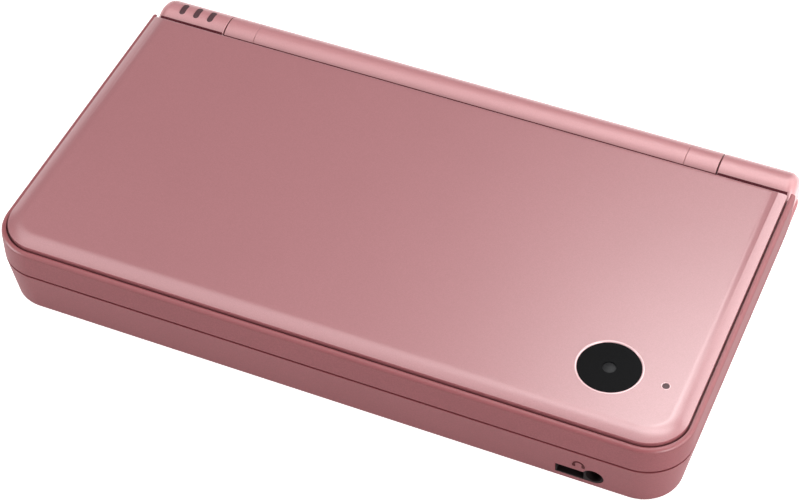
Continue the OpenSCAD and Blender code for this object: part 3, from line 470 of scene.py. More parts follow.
nodeFinish = {
    "roseSatin": ["lid_cover"],
    # the barrel pieces take the rose satin with its colour painted lighter: painted highlight
    "roseBarrelPaintedLighter": ["hinge_cover", "left_hinge_housing", "right_hinge_housing"],
    "roseMatte": ["lid_frame", "base_bottom_shell", "battery_cover", "volume_up_button", "volume_down_button",
                  "left_trigger", "right_trigger", "stylus", "sd_door"],
    "pearlInside": ["lid_bezel", "base_top_shell", "d_pad", "a_button", "b_button", "x_button", "y_button",
                    "start_button", "select_button", "power_button"],
    "glossBlack": ["camera_window", "inner_camera_window"],
    "screenGlass": ["upper_screen_window", "touch_glass"],
    "lensGlass": ["camera_lens"],
    "smokedClear": ["status_windows", "camera_indicator"],
    "blackPlastic": ["upper_screen_panel", "lower_screen_panel", "left_speaker", "right_speaker",
                     "camera_module", "inner_camera_module", "power_jack"],
    "socketBlack": ["headphone_jack"],
    "boardGreen": ["main_board", "d_pad_board"],
    "plainSteel": ["microphone", "lid_magnet", "lid_screws", "hinge_click_unit", "hinge_bush",
                   "battery_cover_screws", "case_screws", "trigger_pins", "strap_bar"],
    "springSteel": ["card_socket", "sd_socket", "radio_module"],
    "greyRubber": ["rubber_feet"],
    "paleRubber": ["lid_bumpers", "face_button_mat", "d_pad_mat", "d_pad_pivot"],
    "amberFilm": ["screen_ribbon"],
    "batteryWrap": ["battery_pack"],
}
for finish, nodeNames in nodeFinish.items():
    for nodeName in nodeNames:
        node = frame["nodes"][nodeName]
        node.data.materials.clear()
        node.data.materials.append(materials[finish])
print("materials made:", len(materials))


plate = {
    "edgeWide": 6.8, "edgeHigh": 5.6, "edgeDrop": 1.05, "edgeSteps": 20, "edgeBelow": 2.0,
    "seatDrop": 2.9,
    "backRadius": 1.5, "backSink": 1.0,
    "thickness": 1.4,
    "borderWide": 5.0,
    "grooveGap": 0.1,
    "cameraGap": 0.1,
    "trimRadius": 0.3, "trimSink": 0.24,
    "lightGap": 0.05, "lightTrim": 0.14,
}


def makeLidPlate():
    high = nodeBox("lid_cover")[1]
    wide = plate["edgeWide"]
    reach = wide * (1 - sqrt(1 - (1 - plate["edgeDrop"] / plate["edgeHigh"]) ** 2))
    inset = halfWidth - high.x + plate["grooveGap"]
    top = high.z
    back = high.y - plate["backSink"]
    # The edge is rounded as a quarter circle and then pressed flat, so it rolls off gently
    piece = caseBlock("lidPlate", inset - reach, top - wide - plate["edgeBelow"], top, back)
    bevelEdges(piece, atFront(top, back), wide, plate["edgeSteps"])
    openMesh()
    selectWhole()
    bpy.ops.transform.resize(value=(1, 1, plate["edgeHigh"] / wide), center_override=(0, 0, top))
    bpy.ops.mesh.bisect(plane_co=(0, 0, top - plate["edgeDrop"]), plane_no=(0, 0, 1), clear_inner=True)
    bpy.ops.mesh.extrude_region_move(
        TRANSFORM_OT_translate={"value": (0, 0, plate["edgeDrop"] - plate["seatDrop"])})
    bpy.ops.mesh.edge_face_add()
    closeMesh()
    # The back edge is rounded over its whole width, square to the side edges
    radius = plate["backRadius"]
    waste = startBlock("waste", (-far, back - radius, top - radius), (far, far, above))
    cutAway(waste, startRod("round", "X", (back - radius, top - radius), -2 * far, 2 * far, radius, 96))
    cutAway(piece, waste)
    # Hollow below, open to the works
    cutAway(piece, caseBlock("hollow", inset + plate["borderWide"], 0, top - plate["thickness"],
                             lidBack - rim["worksBack"]))
    holes = []
    for node, name, gap, lip, sides in (
            ("camera_window", "cameraTrim", plate["cameraGap"], plate["trimRadius"], 96),
            ("camera_indicator", "lightTrim", plate["lightGap"], plate["lightTrim"], 32)):
        middle = nodeMiddle(node)
        radius = nodeRadius(node) + gap
        cutAway(piece, startRod("hole", "Z", middle.xy, 0, above, radius, sides))
        holes.append((name, middle, radius, lip))
    finishPiece(piece, "roseSatin", "lid", "rose_satin", "lid_cover")
    # A rounded polished lip runs round the camera hole and round the small light
    for name, middle, radius, lip in holes:
        clearSelection()
        bpy.ops.mesh.primitive_torus_add(
            location=(middle.x, middle.y, top - plate["trimSink"] * lip / plate["trimRadius"]),
            major_radius=radius + lip / 2, minor_radius=lip, major_segments=96, minor_segments=16)
        finishPiece(settle(name), "polishedEdge", "lid", "rose_satin")
    print("lid plate made")


# Dark wine strips sit in the gap between the plate and the barrel: painted shade standing in for the dark of
# the gap
paintedShadeStrip = {
    "outer": 5.98,
    "cover": {"inner": 5.8, "front": 34.3, "low": 17.2, "back": 36.35},
    "knuckle": {"inner": 5.6, "front": 35.8, "low": 17.6, "back": 36.65},
    "startGap": 0.2,
    "endGap": 0.6,
}


def shadeStripPart(name, strip, start, end):
    part = sweepRod(start, end, paintedShadeStrip["outer"], 128)
    part.name = name
    trimTo(part, startBlock("keep", (-far, strip["front"], strip["low"]), (far, strip["back"], above)))
    cutAway(part, sweepRod(-far, far, strip["inner"], 128))
    return part


def makePaintedShadeStrips():
    knuckle = nodeBox("right_hinge_housing")[0].x
    edge = knuckle - case["hingeRoom"]
    # each strip is painted shade laid where the gap shows dark
    finishPiece(shadeStripPart("coverShadeStrip", paintedShadeStrip["cover"], -edge, edge), "paintedGapShade", "lid", "rose_matte")
    right = shadeStripPart("rightShadeStrip", paintedShadeStrip["knuckle"], knuckle + paintedShadeStrip["startGap"],
                      nodeBox("lid_cover")[1].x - paintedShadeStrip["endGap"])
    for piece in (right, mirrorPiece(right, "leftShadeStrip")):
        finishPiece(piece, "paintedGapShade", "base", "rose_matte")
    print("gap strips made")


rim = {
    "top": 19.3,
    "edgeRadius": 0.9,
    "lip": 1.15,
    "seat": 17.9,
    "wall": 3.0,
    "floorLow": 14.1, "floorTop": 15.1,
    "bezelRoom": 1.7, "bezelBack": 0.3,
    "worksBack": 1.6,
    "backReach": 2.4,
    "stripFront": 1.0, "stripReach": 3.0,
    "panelGap": 0.2, "panelOver": 1.0,
    "softEdge": 0.1,
    "seamRise": 0.06,
    "sleeveGap": 0.05,
    "rightBore": 3.92,
    "leftBore": 3.42,
}


def makeLidRim():
    back = lidBack
    knuckle = nodeBox("right_hinge_housing")[0].x - case["hingeRoom"]
    cover = nodeBox("hinge_cover")[1].x + rim["sleeveGap"]
    bottom = case["lidBottom"] + rim["seamRise"]
    room = case["hingeRadius"] + case["hingeGap"]
    reach = rim["stripReach"]
    piece = caseBlock("lidRim", 0, bottom, rim["top"], back + rim["backReach"])
    bevelEdges(piece, atFront(rim["top"], back), rim["edgeRadius"], 6)
    bevelEdges(piece, atFront(bottom, back), rim["softEdge"], 2)
    cutAway(piece,
            caseBlock("worksRoom", rim["wall"], rim["floorTop"], above, back - rim["worksBack"]),
            caseBlock("plateSeat", rim["lip"], rim["seat"], above, far),
            caseBlock("bezelRoom", rim["bezelRoom"], 0, rim["floorLow"], back - rim["bezelBack"]),
            startBlock("underBack", (-far, back - rim["bezelBack"], 0), (far, far, rim["floorLow"])))
    joinOn(piece, startBlock("backStrip", (-knuckle, back - rim["stripFront"], rim["floorLow"]),
                             (knuckle, hingeY - reach, case["hingeHeight"] + reach)))
    cutAway(piece, sweepRod(knuckle, far, room), sweepRod(-far, -knuckle, room),
            sweepRod(-far, far, case["hingeRadius"] + rim["sleeveGap"]))
    low, high = nodeBox("upper_screen_panel")
    gap = rim["panelGap"]
    cutAway(piece, startBlock("panelRoom", (low.x - gap, low.y - gap, 0),
                              (high.x + gap, high.y + gap, rim["floorTop"] + rim["panelOver"])))
    finishPiece(piece, "roseMatte", "lid", "rose_matte", "lid_frame")
    # Short sleeves of the lid at both ends of the hinge cover
    sleeve = sweepRod(cover, knuckle, case["hingeRadius"])
    sleeve.name = "rightSleeve"
    bevelEdges(sleeve, atAcross(cover, knuckle), rim["softEdge"], 3)
    for piece, bore in ((sleeve, rim["rightBore"]), (mirrorPiece(sleeve, "leftSleeve"), rim["leftBore"])):
        cutAway(piece, sweepRod(-far, far, bore))
        finishPiece(piece, "roseBarrelPaintedLighter", "lid", "rose_satin")
    print("lid rim made")


hingeCover = {
    "bore": 4.4,
    "softEdge": 0.15,
    "tongueGap": 0.2, "tongueHigh": 2.0,
    "windowGap": 0.1,
    "soundHole": 0.6,
}


def makeHingeCover():
    low, high = nodeBox("hinge_cover")
    hinge = case["hingeHeight"]
    gap = hingeCover["tongueGap"]
    piece = sweepRod(low.x, high.x, case["hingeRadius"], 128)
    piece.name = "hingeCover"
    bevelEdges(piece, atAcross(low.x, high.x), hingeCover["softEdge"], 3)
    joinOn(piece, startBlock("tongue", (low.x + gap, low.y, hinge),
                             (high.x - gap, hingeY - hingeCover["bore"],
                              hinge + hingeCover["tongueHigh"])))
    cutAway(piece, sweepRod(-far, far, hingeCover["bore"]))
    for node, radius, sides in (
            ("inner_camera_window", nodeRadius("inner_camera_window") + hingeCover["windowGap"], 48),
            ("microphone", hingeCover["soundHole"], 24)):
        cutAway(piece, startRod("hole", "Z", (nodeMiddle(node).x, hingeY), 0, hinge, radius, sides))
    finishPiece(piece, "roseBarrelPaintedLighter", "lid", "rose_satin", "hinge_cover")
    print("hinge cover made")


housing = {
    "end": 79.9, "endRadius": 2.6, "endSteps": 8, "endReach": 0.1,
    "seat": 9.0,
    "softEdge": 0.18,
    "lightLean": -3.0, "lightStep": 3.7, "lightWide": 1.4, "lightLong": 3.8, "lightGap": 0.04,
    "lightSink": 0.04, "lightDeep": 2.2, "lightHole": 3.0, "lightOver": 2.0,
}


def makeHousings():
    start = nodeBox("right_hinge_housing")[0].x
    end = housing["end"]
    barrel = sweepRod(start, end, case["hingeRadius"], 128)
    barrel.name = "rightHousing"
    bevelEdges(barrel, atAcross(end), housing["endRadius"], housing["endSteps"])
    bevelEdges(barrel, atAcross(start), housing["softEdge"], 3)
    neck = startBlock("neck", (start + housing["softEdge"], hingeY - case["hingeRadius"],
                               case["baseTop"]), (end, halfDepth, case["hingeHeight"]))
    bevelEdges(neck, lambda a, b: isUpright(a, b) and a.x > end - housing["endReach"], housing["endRadius"],
               housing["endSteps"])
    foot = leaningBlock("foot", 0, housing["seat"], case["baseTop"])
    trimTo(foot, startBlock("corner", (start, lidBack + case["hingeGap"], 0), (far, far, above)))
    joinOn(barrel, neck, foot)
    twin = mirrorPiece(barrel, "leftHousing")
    middle = nodeMiddle("status_windows").x
    places = [middle + housing["lightStep"] * step for step in (-1, 0, 1)]
    cutAway(twin, *[lightPill(x, housing["lightGap"], housing["lightHole"]) for x in places])
    finishPiece(barrel, "roseBarrelPaintedLighter", "base", "rose_satin", "right_hinge_housing")
    finishPiece(twin, "roseBarrelPaintedLighter", "base", "rose_satin", "left_hinge_housing")
    # The status windows: three dark pills a hair below the skin
    pills = [lightPill(x, 0, housing["lightDeep"]) for x in places]
    for pill in pills:
        trimTo(pill, sweepRod(-far, far, case["hingeRadius"] - housing["lightSink"], 128))
    finishPiece(joinParts("statusWindows", pills), "smokedClear", "base", "smoked_clear", "status_windows")
    print("hinge housings made")


def lightPill(x, grow, depth):  # a pill-shaped plug standing on the barrel, leaning with it
    wide = housing["lightWide"] + 2 * grow
    long = housing["lightLong"] + 2 * grow
    radius = case["hingeRadius"]
    piece = padBlock("pill", (x, 0), (wide, long), wide / 2 - 0.001, radius - depth,
                     radius + housing["lightOver"], 8)
    makeActive(piece)
    piece.rotation_euler = (radians(housing["lightLean"]), 0, 0)
    piece.location = (0, hingeY, case["hingeHeight"])
    return settle()


lens = {
    "edge": 0.25,
    "gap": 0.05,
    "holeDeep": 3.0,
    "stepWide": 0.35, "stepDepths": (0.1, 0.04),
    "lightEdge": 0.15,
}


def nodeRod(node, sides):  # an upright rod that fills the node
    low, high = nodeBox(node)
    return startRod(camelName(node), "Z", nodeMiddle(node).xy, low.z, high.z, nodeRadius(node), sides)


def makeCamera():
    top = nodeBox("camera_window")[1].z
    glass = nodeMiddle("camera_lens")
    radius = nodeRadius("camera_lens")
    disc = nodeRod("camera_window", 96)
    bevelEdges(disc, atHeight(top), lens["edge"], 4)
    cutAway(disc, startRod("lensHole", "Z", glass.xy, top - lens["holeDeep"], above,
                           radius + lens["gap"], 48))
    finishPiece(disc, "glossBlack", "lid", "gloss_black", "camera_window")
    dome = nodeRod("camera_lens", 48)
    selectFaces(dome, lambda normal: normal.z > 0.9)
    for depth in lens["stepDepths"]:
        bpy.ops.mesh.inset(thickness=radius * lens["stepWide"], depth=depth)
    closeMesh()
    finishPiece(dome, "lensGlass", "lid", "screen_glass", "camera_lens", smooth=50)
    pip = nodeRod("camera_indicator", 32)
    bevelEdges(pip, atHeight(nodeBox("camera_indicator")[1].z), lens["lightEdge"], 3)
    finishPiece(pip, "smokedClear", "lid", "smoked_clear", "camera_indicator")
    print("camera made")


baseShell = {
    "wall": 1.8,
    "floorTop": 1.6,
    "edgeRadius": 1.0,
    "backLip": 9.0,
    "rimSoft": 0.1, "rimDrop": 0.06,
    "roomOver": 0.6,
    "openingGap": 0.2,
    "triggerGap": 0.3, "triggerFront": 0.9,
    "jackRadius": 2.3, "jackDeep": 5.0,
    "slotWide": 8.5, "slotHigh": 3.05, "slotLow": 2.4, "slotDeep": 4.0,
    "stylusGap": 0.1,
    "doorInner": 1.1,
    "volumeInset": 0.25, "volumeDeep": 5.0,
    "batterySize": (62.0, 48.0), "batterySink": 0.2,
    "footDepth": 0.7,
    "screwGap": 0.1, "screwDepth": 1.4, "screwFront": 11.2, "screwMiddle": 20.0,
    "holeDeep": 6.0,
    # Openings in the back wall: middle, width, underside and height
    "cardHole": (22.0, 34.0, 2.3, 3.95),
    "powerHole": (nodeMiddle("power_jack").x, 7.2, 2.6, 3.4),
    "strapHole": (-42.0, 6.4, 2.2, 4.05),
}


def makeBaseShell():
    shell = baseShell
    top = case["baseTop"] - shell["rimDrop"]
    piece = leaningBlock("baseShell", 0, bottom, top)
    bevelEdges(piece, atHeight(bottom), shell["edgeRadius"], 6)
    bevelEdges(piece, atHeight(top), shell["rimSoft"], 2)
    cutAway(piece, leaningBlock("room", shell["wall"], shell["floorTop"], top + shell["roomOver"]),
            startBlock("backOpening", (-far, lidBack, shell["backLip"]), (far, far, above)))
    gap = shell["openingGap"]
    low, high = nodeBox("right_trigger")
    for side in (-1, 1):
        start, end = sorted((side * (low.x - shell["triggerGap"]), side * far))
        cutAway(piece, startBlock("triggerRoom", (start, low.y - shell["triggerFront"], low.z - gap),
                                  (end, far, high.z + gap)))
    for x, wide, z, tall in (shell["cardHole"], shell["powerHole"], shell["strapHole"]):
        cutAway(piece, startBlock("backHole", (x - wide / 2, halfDepth - shell["holeDeep"], z),
                                  (x + wide / 2, far, z + tall)))
    plug = frameMount("headphone_socket")
    stylus = nodeMiddle("stylus")
    low, high = nodeBox("stylus")
    cutAway(piece,
            startRod("jackHole", "Y", (plug.x, plug.z), -far, shell["jackDeep"] - halfDepth,
                     shell["jackRadius"], 48),
            startBlock("slot", (plug.x - shell["slotWide"], -far, shell["slotLow"]),
                       (plug.x, shell["slotDeep"] - halfDepth, shell["slotLow"] + shell["slotHigh"])),
            startRod("stylusHole", "X", (stylus.y, stylus.z), low.x, far,
                     (high.z - low.z) / 2 + shell["stylusGap"], 48))
    low, high = nodeBox("sd_door")
    cutAway(piece, startBlock("doorHole", (low.x - shell["doorInner"], low.y - gap, low.z - gap),
                              (far, high.y + gap, high.z + gap)))
    inset = shell["volumeInset"]
    for node in ("volume_up_button", "volume_down_button"):
        low, high = nodeBox(node)
        cutAway(piece, startBlock("volumeHole", (-far, low.y + inset, low.z + inset),
                                  (shell["volumeDeep"] - halfWidth, high.y - inset, high.z - inset)))
    cutAway(piece, padBlock("batteryRecess", nodeMiddle("battery_cover").xy, shell["batterySize"],
                            underside["coverCorner"], 0, shell["floorTop"] - shell["batterySink"]))
    for place in cornerPlaces("rubber_feet", underside["footReach"]):
        cutAway(piece, startRod("footHole", "Z", place, 0, bottom + shell["footDepth"],
                                underside["footReach"], 48))
    low, high = nodeBox("case_screws")
    reach = underside["screwReach"]
    places = [(x, y) for x in (low.x + reach, high.x - reach)
              for y in (shell["screwFront"] - halfDepth, high.y - reach)]
    places += [(x, low.y + reach) for x in (-shell["screwMiddle"], shell["screwMiddle"])]
    for place in places:
        cutAway(piece, startRod("screwHole", "Z", place, 0, shell["screwDepth"],
                                reach + shell["screwGap"], 32))
    finishPiece(piece, "roseMatte", "base", "rose_matte", "base_bottom_shell")
    print("base shell made")


# A small print on the front wall, an arch with a cup at each end
mark = {
    "x": 58.95,
    "z": 7.8,
    "bandRadius": 1.05, "bandWide": 0.42, "bandSteps": 18,
    "cupWide": 0.7, "cupHigh": 0.95, "cupCorner": 0.12,
    "overlap": 0.05,
    "proud": 0.06,
}


def makeHeadphoneMark():
    radius, proud = mark["bandRadius"], mark["proud"]
    clearSelection()
    bpy.ops.mesh.primitive_plane_add(size=1, location=(radius, 0, 0))
    bpy.context.object.scale = (mark["bandWide"], proud * 2, 1)
    band = settle("headphoneMark")
    openMesh()
    selectWhole()
    bpy.ops.mesh.spin(steps=mark["bandSteps"], angle=pi, center=(0, 0, 0), axis=(0, 1, 0))
    closeMesh()
    for side in (-1, 1):
        cup = startBlock("cup", (side * radius - mark["cupWide"] / 2, -proud, -mark["cupHigh"]),
                         (side * radius + mark["cupWide"] / 2, proud, mark["overlap"]))
        bevelEdges(cup, lambda a, b: abs(a.x - b.x) < 0.001 and abs(a.z - b.z) < 0.001, mark["cupCorner"], 3)
        joinParts("headphoneMark", [band, cup])
    band.rotation_euler = (case["wallLean"], 0, 0)
    band.location = (mark["x"], leanAt(mark["z"]) - halfDepth, mark["z"])
    settle()
    openMesh()
    selectWhole()
    bpy.ops.mesh.remove_doubles(threshold=0.0005)
    closeMesh()
    fixNormals(band)
    finishPiece(band, "printRed", "base", "rose_matte")
    print("headphone mark made")


jack = {
    "plugRadius": 1.8, "plugDepth": 11.5,
    "headsetDeep": 5.0,
    "wallGap": 0.35,
    "sleeveGap": 0.02, "sleeveLap": 1.0, "sleeveEnd": 0.35, "sleeveWall": 0.3,
    "between": 0.4,
    "softEdge": 0.4,
}


def makeHeadphoneJack():
    low, high = nodeBox("headphone_jack")
    plug = frameMount("headphone_socket")
    front = leanAt(plug.z) - halfDepth + jack["wallGap"]
    lap = low.y + jack["sleeveLap"]
    gap, wall = jack["sleeveGap"], jack["sleeveWall"]
    slotStart = plug.x - baseShell["slotWide"]
    slotLow = baseShell["slotLow"]
    slotTop = slotLow + baseShell["slotHigh"]
    piece = startBlock("headphoneJack", low, high)
    bevelEdges(piece, isUpright, jack["softEdge"], 3)
    # A black sleeve fills the opening in the wall and keeps the light out
    joinOn(piece, startRod("mouth", "Y", (plug.x, plug.z), front, lap, baseShell["jackRadius"] - gap, 48),
           startBlock("slotMouth", (slotStart + gap, front, slotLow + gap), (plug.x, lap, slotTop - gap)))
    cutAway(piece,
            startRod("plugHole", "Y", (plug.x, plug.z), -far, front + jack["plugDepth"],
                     jack["plugRadius"], 48),
            startBlock("headsetHole", (slotStart + jack["sleeveEnd"], -far, slotLow + wall),
                       (plug.x - jack["plugRadius"] - jack["between"], front + jack["headsetDeep"],
                        slotTop - wall)))
    finishPiece(piece, "socketBlack", "base", "black_plastic", "headphone_jack")
    print("headphone jack made")


bezel = {
    "softEdge": 0.25,
    "glassGap": 0.1, "glassCorner": 1.2, "glassEdge": 0.12,
    "picture": 0.9, "pictureSink": 0.04,
    "slotWide": 1.6, "slotDeep": 3.4, "slotCorner": 0.79, "slotStep": 4.6, "slotApart": 2.0,
    "bumperGap": 0.1, "bumperDeep": 2.0, "bumperRadius": 2.6, "bumperEdge": 0.55,
}


def screenHole(name, node, grow, low, high):
    boxLow, boxHigh = nodeBox(node)
    size = (boxHigh.x - boxLow.x + 2 * grow, boxHigh.y - boxLow.y + 2 * grow)
    return padBlock(name, nodeMiddle(node).xy, size, bezel["glassCorner"] + grow, low, high)


def makeScreen(name, node, body, facing):  # glass with a picture area sunk a hair below the surface
    low, high = nodeBox(node)
    pane = screenHole(name, node, 0, low.z, high.z)
    bevelEdges(pane, atHeight(high.z if facing > 0 else low.z), bezel["glassEdge"], 2)
    selectFaces(pane, lambda normal: normal.z * facing > 0.9)
    bpy.ops.mesh.inset(thickness=bezel["picture"], depth=-bezel["pictureSink"])
    closeMesh()
    finishPiece(pane, "screenGlass", body, "screen_glass", node)


def makeLidBezel():
    low, high = nodeBox("lid_bezel")
    piece = caseBlock("lidBezel", halfWidth - high.x, low.z, high.z, high.y)
    bevelEdges(piece, atHeight(low.z), bezel["softEdge"], 4)
    cutters = [screenHole("screenHole", "upper_screen_window", bezel["glassGap"], 0, above)]
    speaker = nodeMiddle("right_speaker").x
    for side in (-1, 1):
        for row in (-1, 0, 1):
            for column in (-1, 1):
                place = (side * speaker + column * bezel["slotApart"], row * bezel["slotStep"])
                cutters.append(padBlock("soundSlot", place, (bezel["slotWide"], bezel["slotDeep"]),
                                        bezel["slotCorner"], 0, above))
    for place in cornerPlaces("lid_bumpers", bezel["bumperRadius"]):
        cutters.append(startRod("bumperHole", "Z", place, 0, low.z + bezel["bumperDeep"],
                                bezel["bumperRadius"] + bezel["bumperGap"], 48))
    cutAway(piece, *cutters)
    finishPiece(piece, "pearlInside", "lid", "inner_white", "lid_bezel")
    makeScreen("upperScreen", "upper_screen_window", "lid", -1)
    print("lid bezel made")


def cornerPads(node, reach, radius, sides, edge, steps):  # four round pads, rounded below, as one piece
    low, high = nodeBox(node)
    parts = []
    for place in cornerPlaces(node, reach):
        part = startRod("pad", "Z", place, low.z, high.z, radius, sides)
        bevelEdges(part, atHeight(low.z), edge, steps)
        parts.append(part)
    return joinParts(camelName(node), parts)


def makeBumpers():
    radius = bezel["bumperRadius"]
    piece = cornerPads("lid_bumpers", radius, radius, 48, bezel["bumperEdge"], 5)
    finishPiece(piece, "paleRubber", "lid", "rubber_pale", "lid_bumpers")
    print("bumpers made")


face = {
    "softEdge": 0.3,
    "thick": 1.3,
    "buttonGap": 0.25,
    "padGap": 0.35,
    "troughFront": 1.3, "troughHalf": 61.6, "troughLow": 6.75,
    "lap": 1.0,
    "saddleLap": 0.05, "saddleEnd": 6.0, "saddleTop": 8.9,
    "sweepHalf": 66.6,
}
buttons = {
    "edge": 0.5,
    "flange": 0.5, "flangeDrop": 1.4,
    "smallEdge": 0.4,
}
cross = {
    "arm": 7.4,
    "wide": 21.0,
    "corner": 1.2, "cornerOver": 1.0,
    "endReach": 0.1,
    "edge": 0.45,
    "sphere": 10.0,
    "dish": 0.5,
    "grooveLong": 2.6, "grooveWide": 0.9, "grooveDeep": 0.25, "grooveCorner": 0.44,
    "discThick": 0.5, "discReach": 0.4,
}
faceButtons = ("a_button", "b_button", "x_button", "y_button")
smallButtons = ("start_button", "select_button", "power_button")


def crossBlock(name, grow, low, high):
    middle = nodeMiddle("d_pad")
    half = cross["wide"] / 2 + grow
    arm = cross["arm"] / 2 + grow
    over = cross["cornerOver"]
    piece = startBlock(name, (middle.x - half, middle.y - half, low),
                       (middle.x + half, middle.y + half, high))
    for dx in (-1, 1):
        for dy in (-1, 1):
            xs = sorted((middle.x + dx * arm, middle.x + dx * (half + over)))
            ys = sorted((middle.y + dy * arm, middle.y + dy * (half + over)))
            cutAway(piece, startBlock("corner", (xs[0], ys[0], low - over), (xs[1], ys[1], high + over)))
    reach = half - cross["endReach"]
    bevelEdges(piece, lambda a, b: isUpright(a, b) and max(abs(a.x - middle.x), abs(a.y - middle.y)) > reach,
               cross["corner"], 6)
    return piece


def buttonRadius(node):
    return nodeRadius(node) - buttons["flange"]


def makeControlFace():
    high = nodeBox("base_top_shell")[1]
    front = lidBack - face["troughFront"]
    saddleTop = face["saddleTop"]
    piece = leaningBlock("controlFace", insetAt(high), high.z - face["thick"], high.z)
    trimTo(piece, startBlock("front", (-far, -far, 0), (far, front + face["lap"], above)))
    bevelEdges(piece, atFront(high.z, front), face["softEdge"], 4)
    joinOn(piece, startBlock("trough", (-face["troughHalf"], front, face["troughLow"]),
                             (face["troughHalf"], high.y, high.z)))
    for side in (-1, 1):
        start, end = sorted((side * (face["troughHalf"] - face["saddleLap"]),
                             side * (halfWidth - face["saddleEnd"])))
        joinOn(piece, startBlock("saddle", (start, front, face["troughLow"]),
                                 (end, high.y - face["lap"], saddleTop)))
    cutters = [
        sweepRod(-face["sweepHalf"], face["sweepHalf"], case["hingeRadius"] + case["hingeGap"]),
        startBlock("behind", (-far, hingeY, saddleTop), (far, far, above)),
        screenHole("touchHole", "touch_glass", bezel["glassGap"], 0, above),
        crossBlock("crossHole", face["padGap"], 0, above),
    ]
    for node in faceButtons + smallButtons:
        cutters.append(startRod("buttonHole", "Z", nodeMiddle(node).xy, 0, above,
                                buttonRadius(node) + face["buttonGap"]))
    cutAway(piece, *cutters)
    finishPiece(piece, "pearlInside", "base", "inner_white", "base_top_shell")
    makeScreen("touchScreen", "touch_glass", "base", 1)
    print("control face made")


def makeButton(node, edge):
    low, high = nodeBox(node)
    place = nodeMiddle(node).xy
    radius = buttonRadius(node)
    piece = startRod(camelName(node), "Z", place, low.z, high.z, radius)
    bevelEdges(piece, atHeight(high.z), edge, 6)
    flangeTop = nodeBox("base_top_shell")[1].z - buttons["flangeDrop"]
    joinOn(piece, startRod("flange", "Z", place, low.z, flangeTop, radius + buttons["flange"]))
    finishPiece(piece, "pearlInside", node, "inner_white", node, smooth=40)


def makeButtons():
    for node in faceButtons:
        makeButton(node, buttons["edge"])
    for node in smallButtons:
        makeButton(node, buttons["smallEdge"])
    print("buttons made")


def makeCross():
    low, high = nodeBox("d_pad")
    middle = nodeMiddle("d_pad")
    piece = crossBlock("dPad", 0, low.z, high.z)
    bevelEdges(piece, atHeight(high.z), cross["edge"], 5)
    clearSelection()
    radius = cross["sphere"]
    bpy.ops.mesh.primitive_uv_sphere_add(segments=64, ring_count=48, radius=radius,
                                         location=(middle.x, middle.y, high.z + radius - cross["dish"]))
    cutAway(piece, bpy.context.object)
    reach = cross["wide"] / 2 - cross["grooveLong"]
    long, wide = cross["grooveLong"], cross["grooveWide"]
    for dx, dy in ((1, 0), (-1, 0), (0, 1), (0, -1)):
        size = (long, wide) if dx else (wide, long)
        cutAway(piece, padBlock("groove", (middle.x + dx * reach, middle.y + dy * reach), size,
                                cross["grooveCorner"], high.z - cross["grooveDeep"], above))
    joinOn(piece, startRod("disc", "Z", middle.xy, low.z, low.z + cross["discThick"],
                           cross["wide"] / 2 + cross["discReach"], 96))
    finishPiece(piece, "pearlInside", "d_pad", "inner_white", "d_pad")
    print("d-pad made")


volume = {
    "corner": 0.9,
    "edge": 0.35,
    "flangeThick": 0.6, "flangeGap": 0.5, "flangeCorner": 1.2,
    "grooveLong": 0.9, "grooveHigh": 0.25, "grooveDeep": 0.2,
    "fillReach": 0.2, "fillThick": 1.0,
}


def makeVolumeButton(node):
    low, high = nodeBox(node)
    middle = nodeMiddle(node)
    gap = volume["flangeGap"]
    stem = startBlock(camelName(node), (low.x, low.y + gap, low.z + gap),
                      (high.x, high.y - gap, high.z - gap))
    bevelEdges(stem, runsAcross, volume["corner"], 6)
    bevelEdges(stem, atAcross(low.x), volume["edge"], 4)
    flange = startBlock("flange", (high.x - volume["flangeThick"], low.y, low.z), high)
    bevelEdges(flange, runsAcross, volume["flangeCorner"], 4)
    joinOn(stem, flange)

    def middleBar(name, start, grow):
        long, tall = volume["grooveLong"] + grow, volume["grooveHigh"] + grow
        return startBlock(name, (start, middle.y - long, middle.z - tall),
                          (start + volume["fillThick"], middle.y + long, middle.z + tall))

    # A shallow groove across the middle is felt by the finger: a deep cut, filled up again from inside
    cutAway(stem, middleBar("bar", low.x, 0))
    joinOn(stem, middleBar("barFill", low.x + volume["grooveDeep"], volume["fillReach"]))
    finishPiece(stem, "roseMatte", node, "rose_matte", node)


trigger = {
    "thick": 2.0,
    "edge": 0.45,
    "hollowOver": 3.0,
    "bossInset": 2.0, "bossY": 42.4, "bossRadius": 1.65,
    "holeRadius": 0.8,
    "ribStart": 9.0, "ribEnd": 0.9, "ribDeep": 0.18, "ribWide": 0.5, "ribStep": 1.5, "ribCount": 4,
}


def makeTriggers():
    low, high = nodeBox("right_trigger")
    inset = max(insetAt(high), case["stayInside"])
    edge, over = trigger["edge"], trigger["hollowOver"]
    piece = leaningBlock("rightTrigger", inset, low.z, high.z)
    bevelEdges(piece, atHeight(high.z), edge, 4)
    bevelEdges(piece, atHeight(low.z), edge, 4)
    cutAway(piece, leaningBlock("hollow", inset + trigger["thick"], low.z - over, high.z + over))
    trimTo(piece, startBlock("part", (low.x, low.y, 0), (far, far, above)))
    pin = (low.x + trigger["bossInset"], trigger["bossY"])
    joinOn(piece, startRod("boss", "Z", pin, low.z + edge, high.z - edge, trigger["bossRadius"], 48))
    cutAway(piece, startRod("pinHole", "Z", pin, 0, above, trigger["holeRadius"], 32))
    # Fine grooves along the back give the finger a hold
    grooveFront = halfDepth - leanAt((low.z + high.z) / 2) - trigger["ribDeep"]
    for index in range(trigger["ribCount"]):
        x = low.x + trigger["ribStart"] + index * trigger["ribStep"]
        cutAway(piece, startBlock("rib", (x, grooveFront, low.z + trigger["ribEnd"]),
                                  (x + trigger["ribWide"], far, high.z - trigger["ribEnd"])))
    twin = mirrorPiece(piece, "leftTrigger")
    finishPiece(piece, "roseMatte", "right_trigger", "rose_matte", "right_trigger")
    finishPiece(twin, "roseMatte", "left_trigger", "rose_matte", "left_trigger")
    print("triggers made")


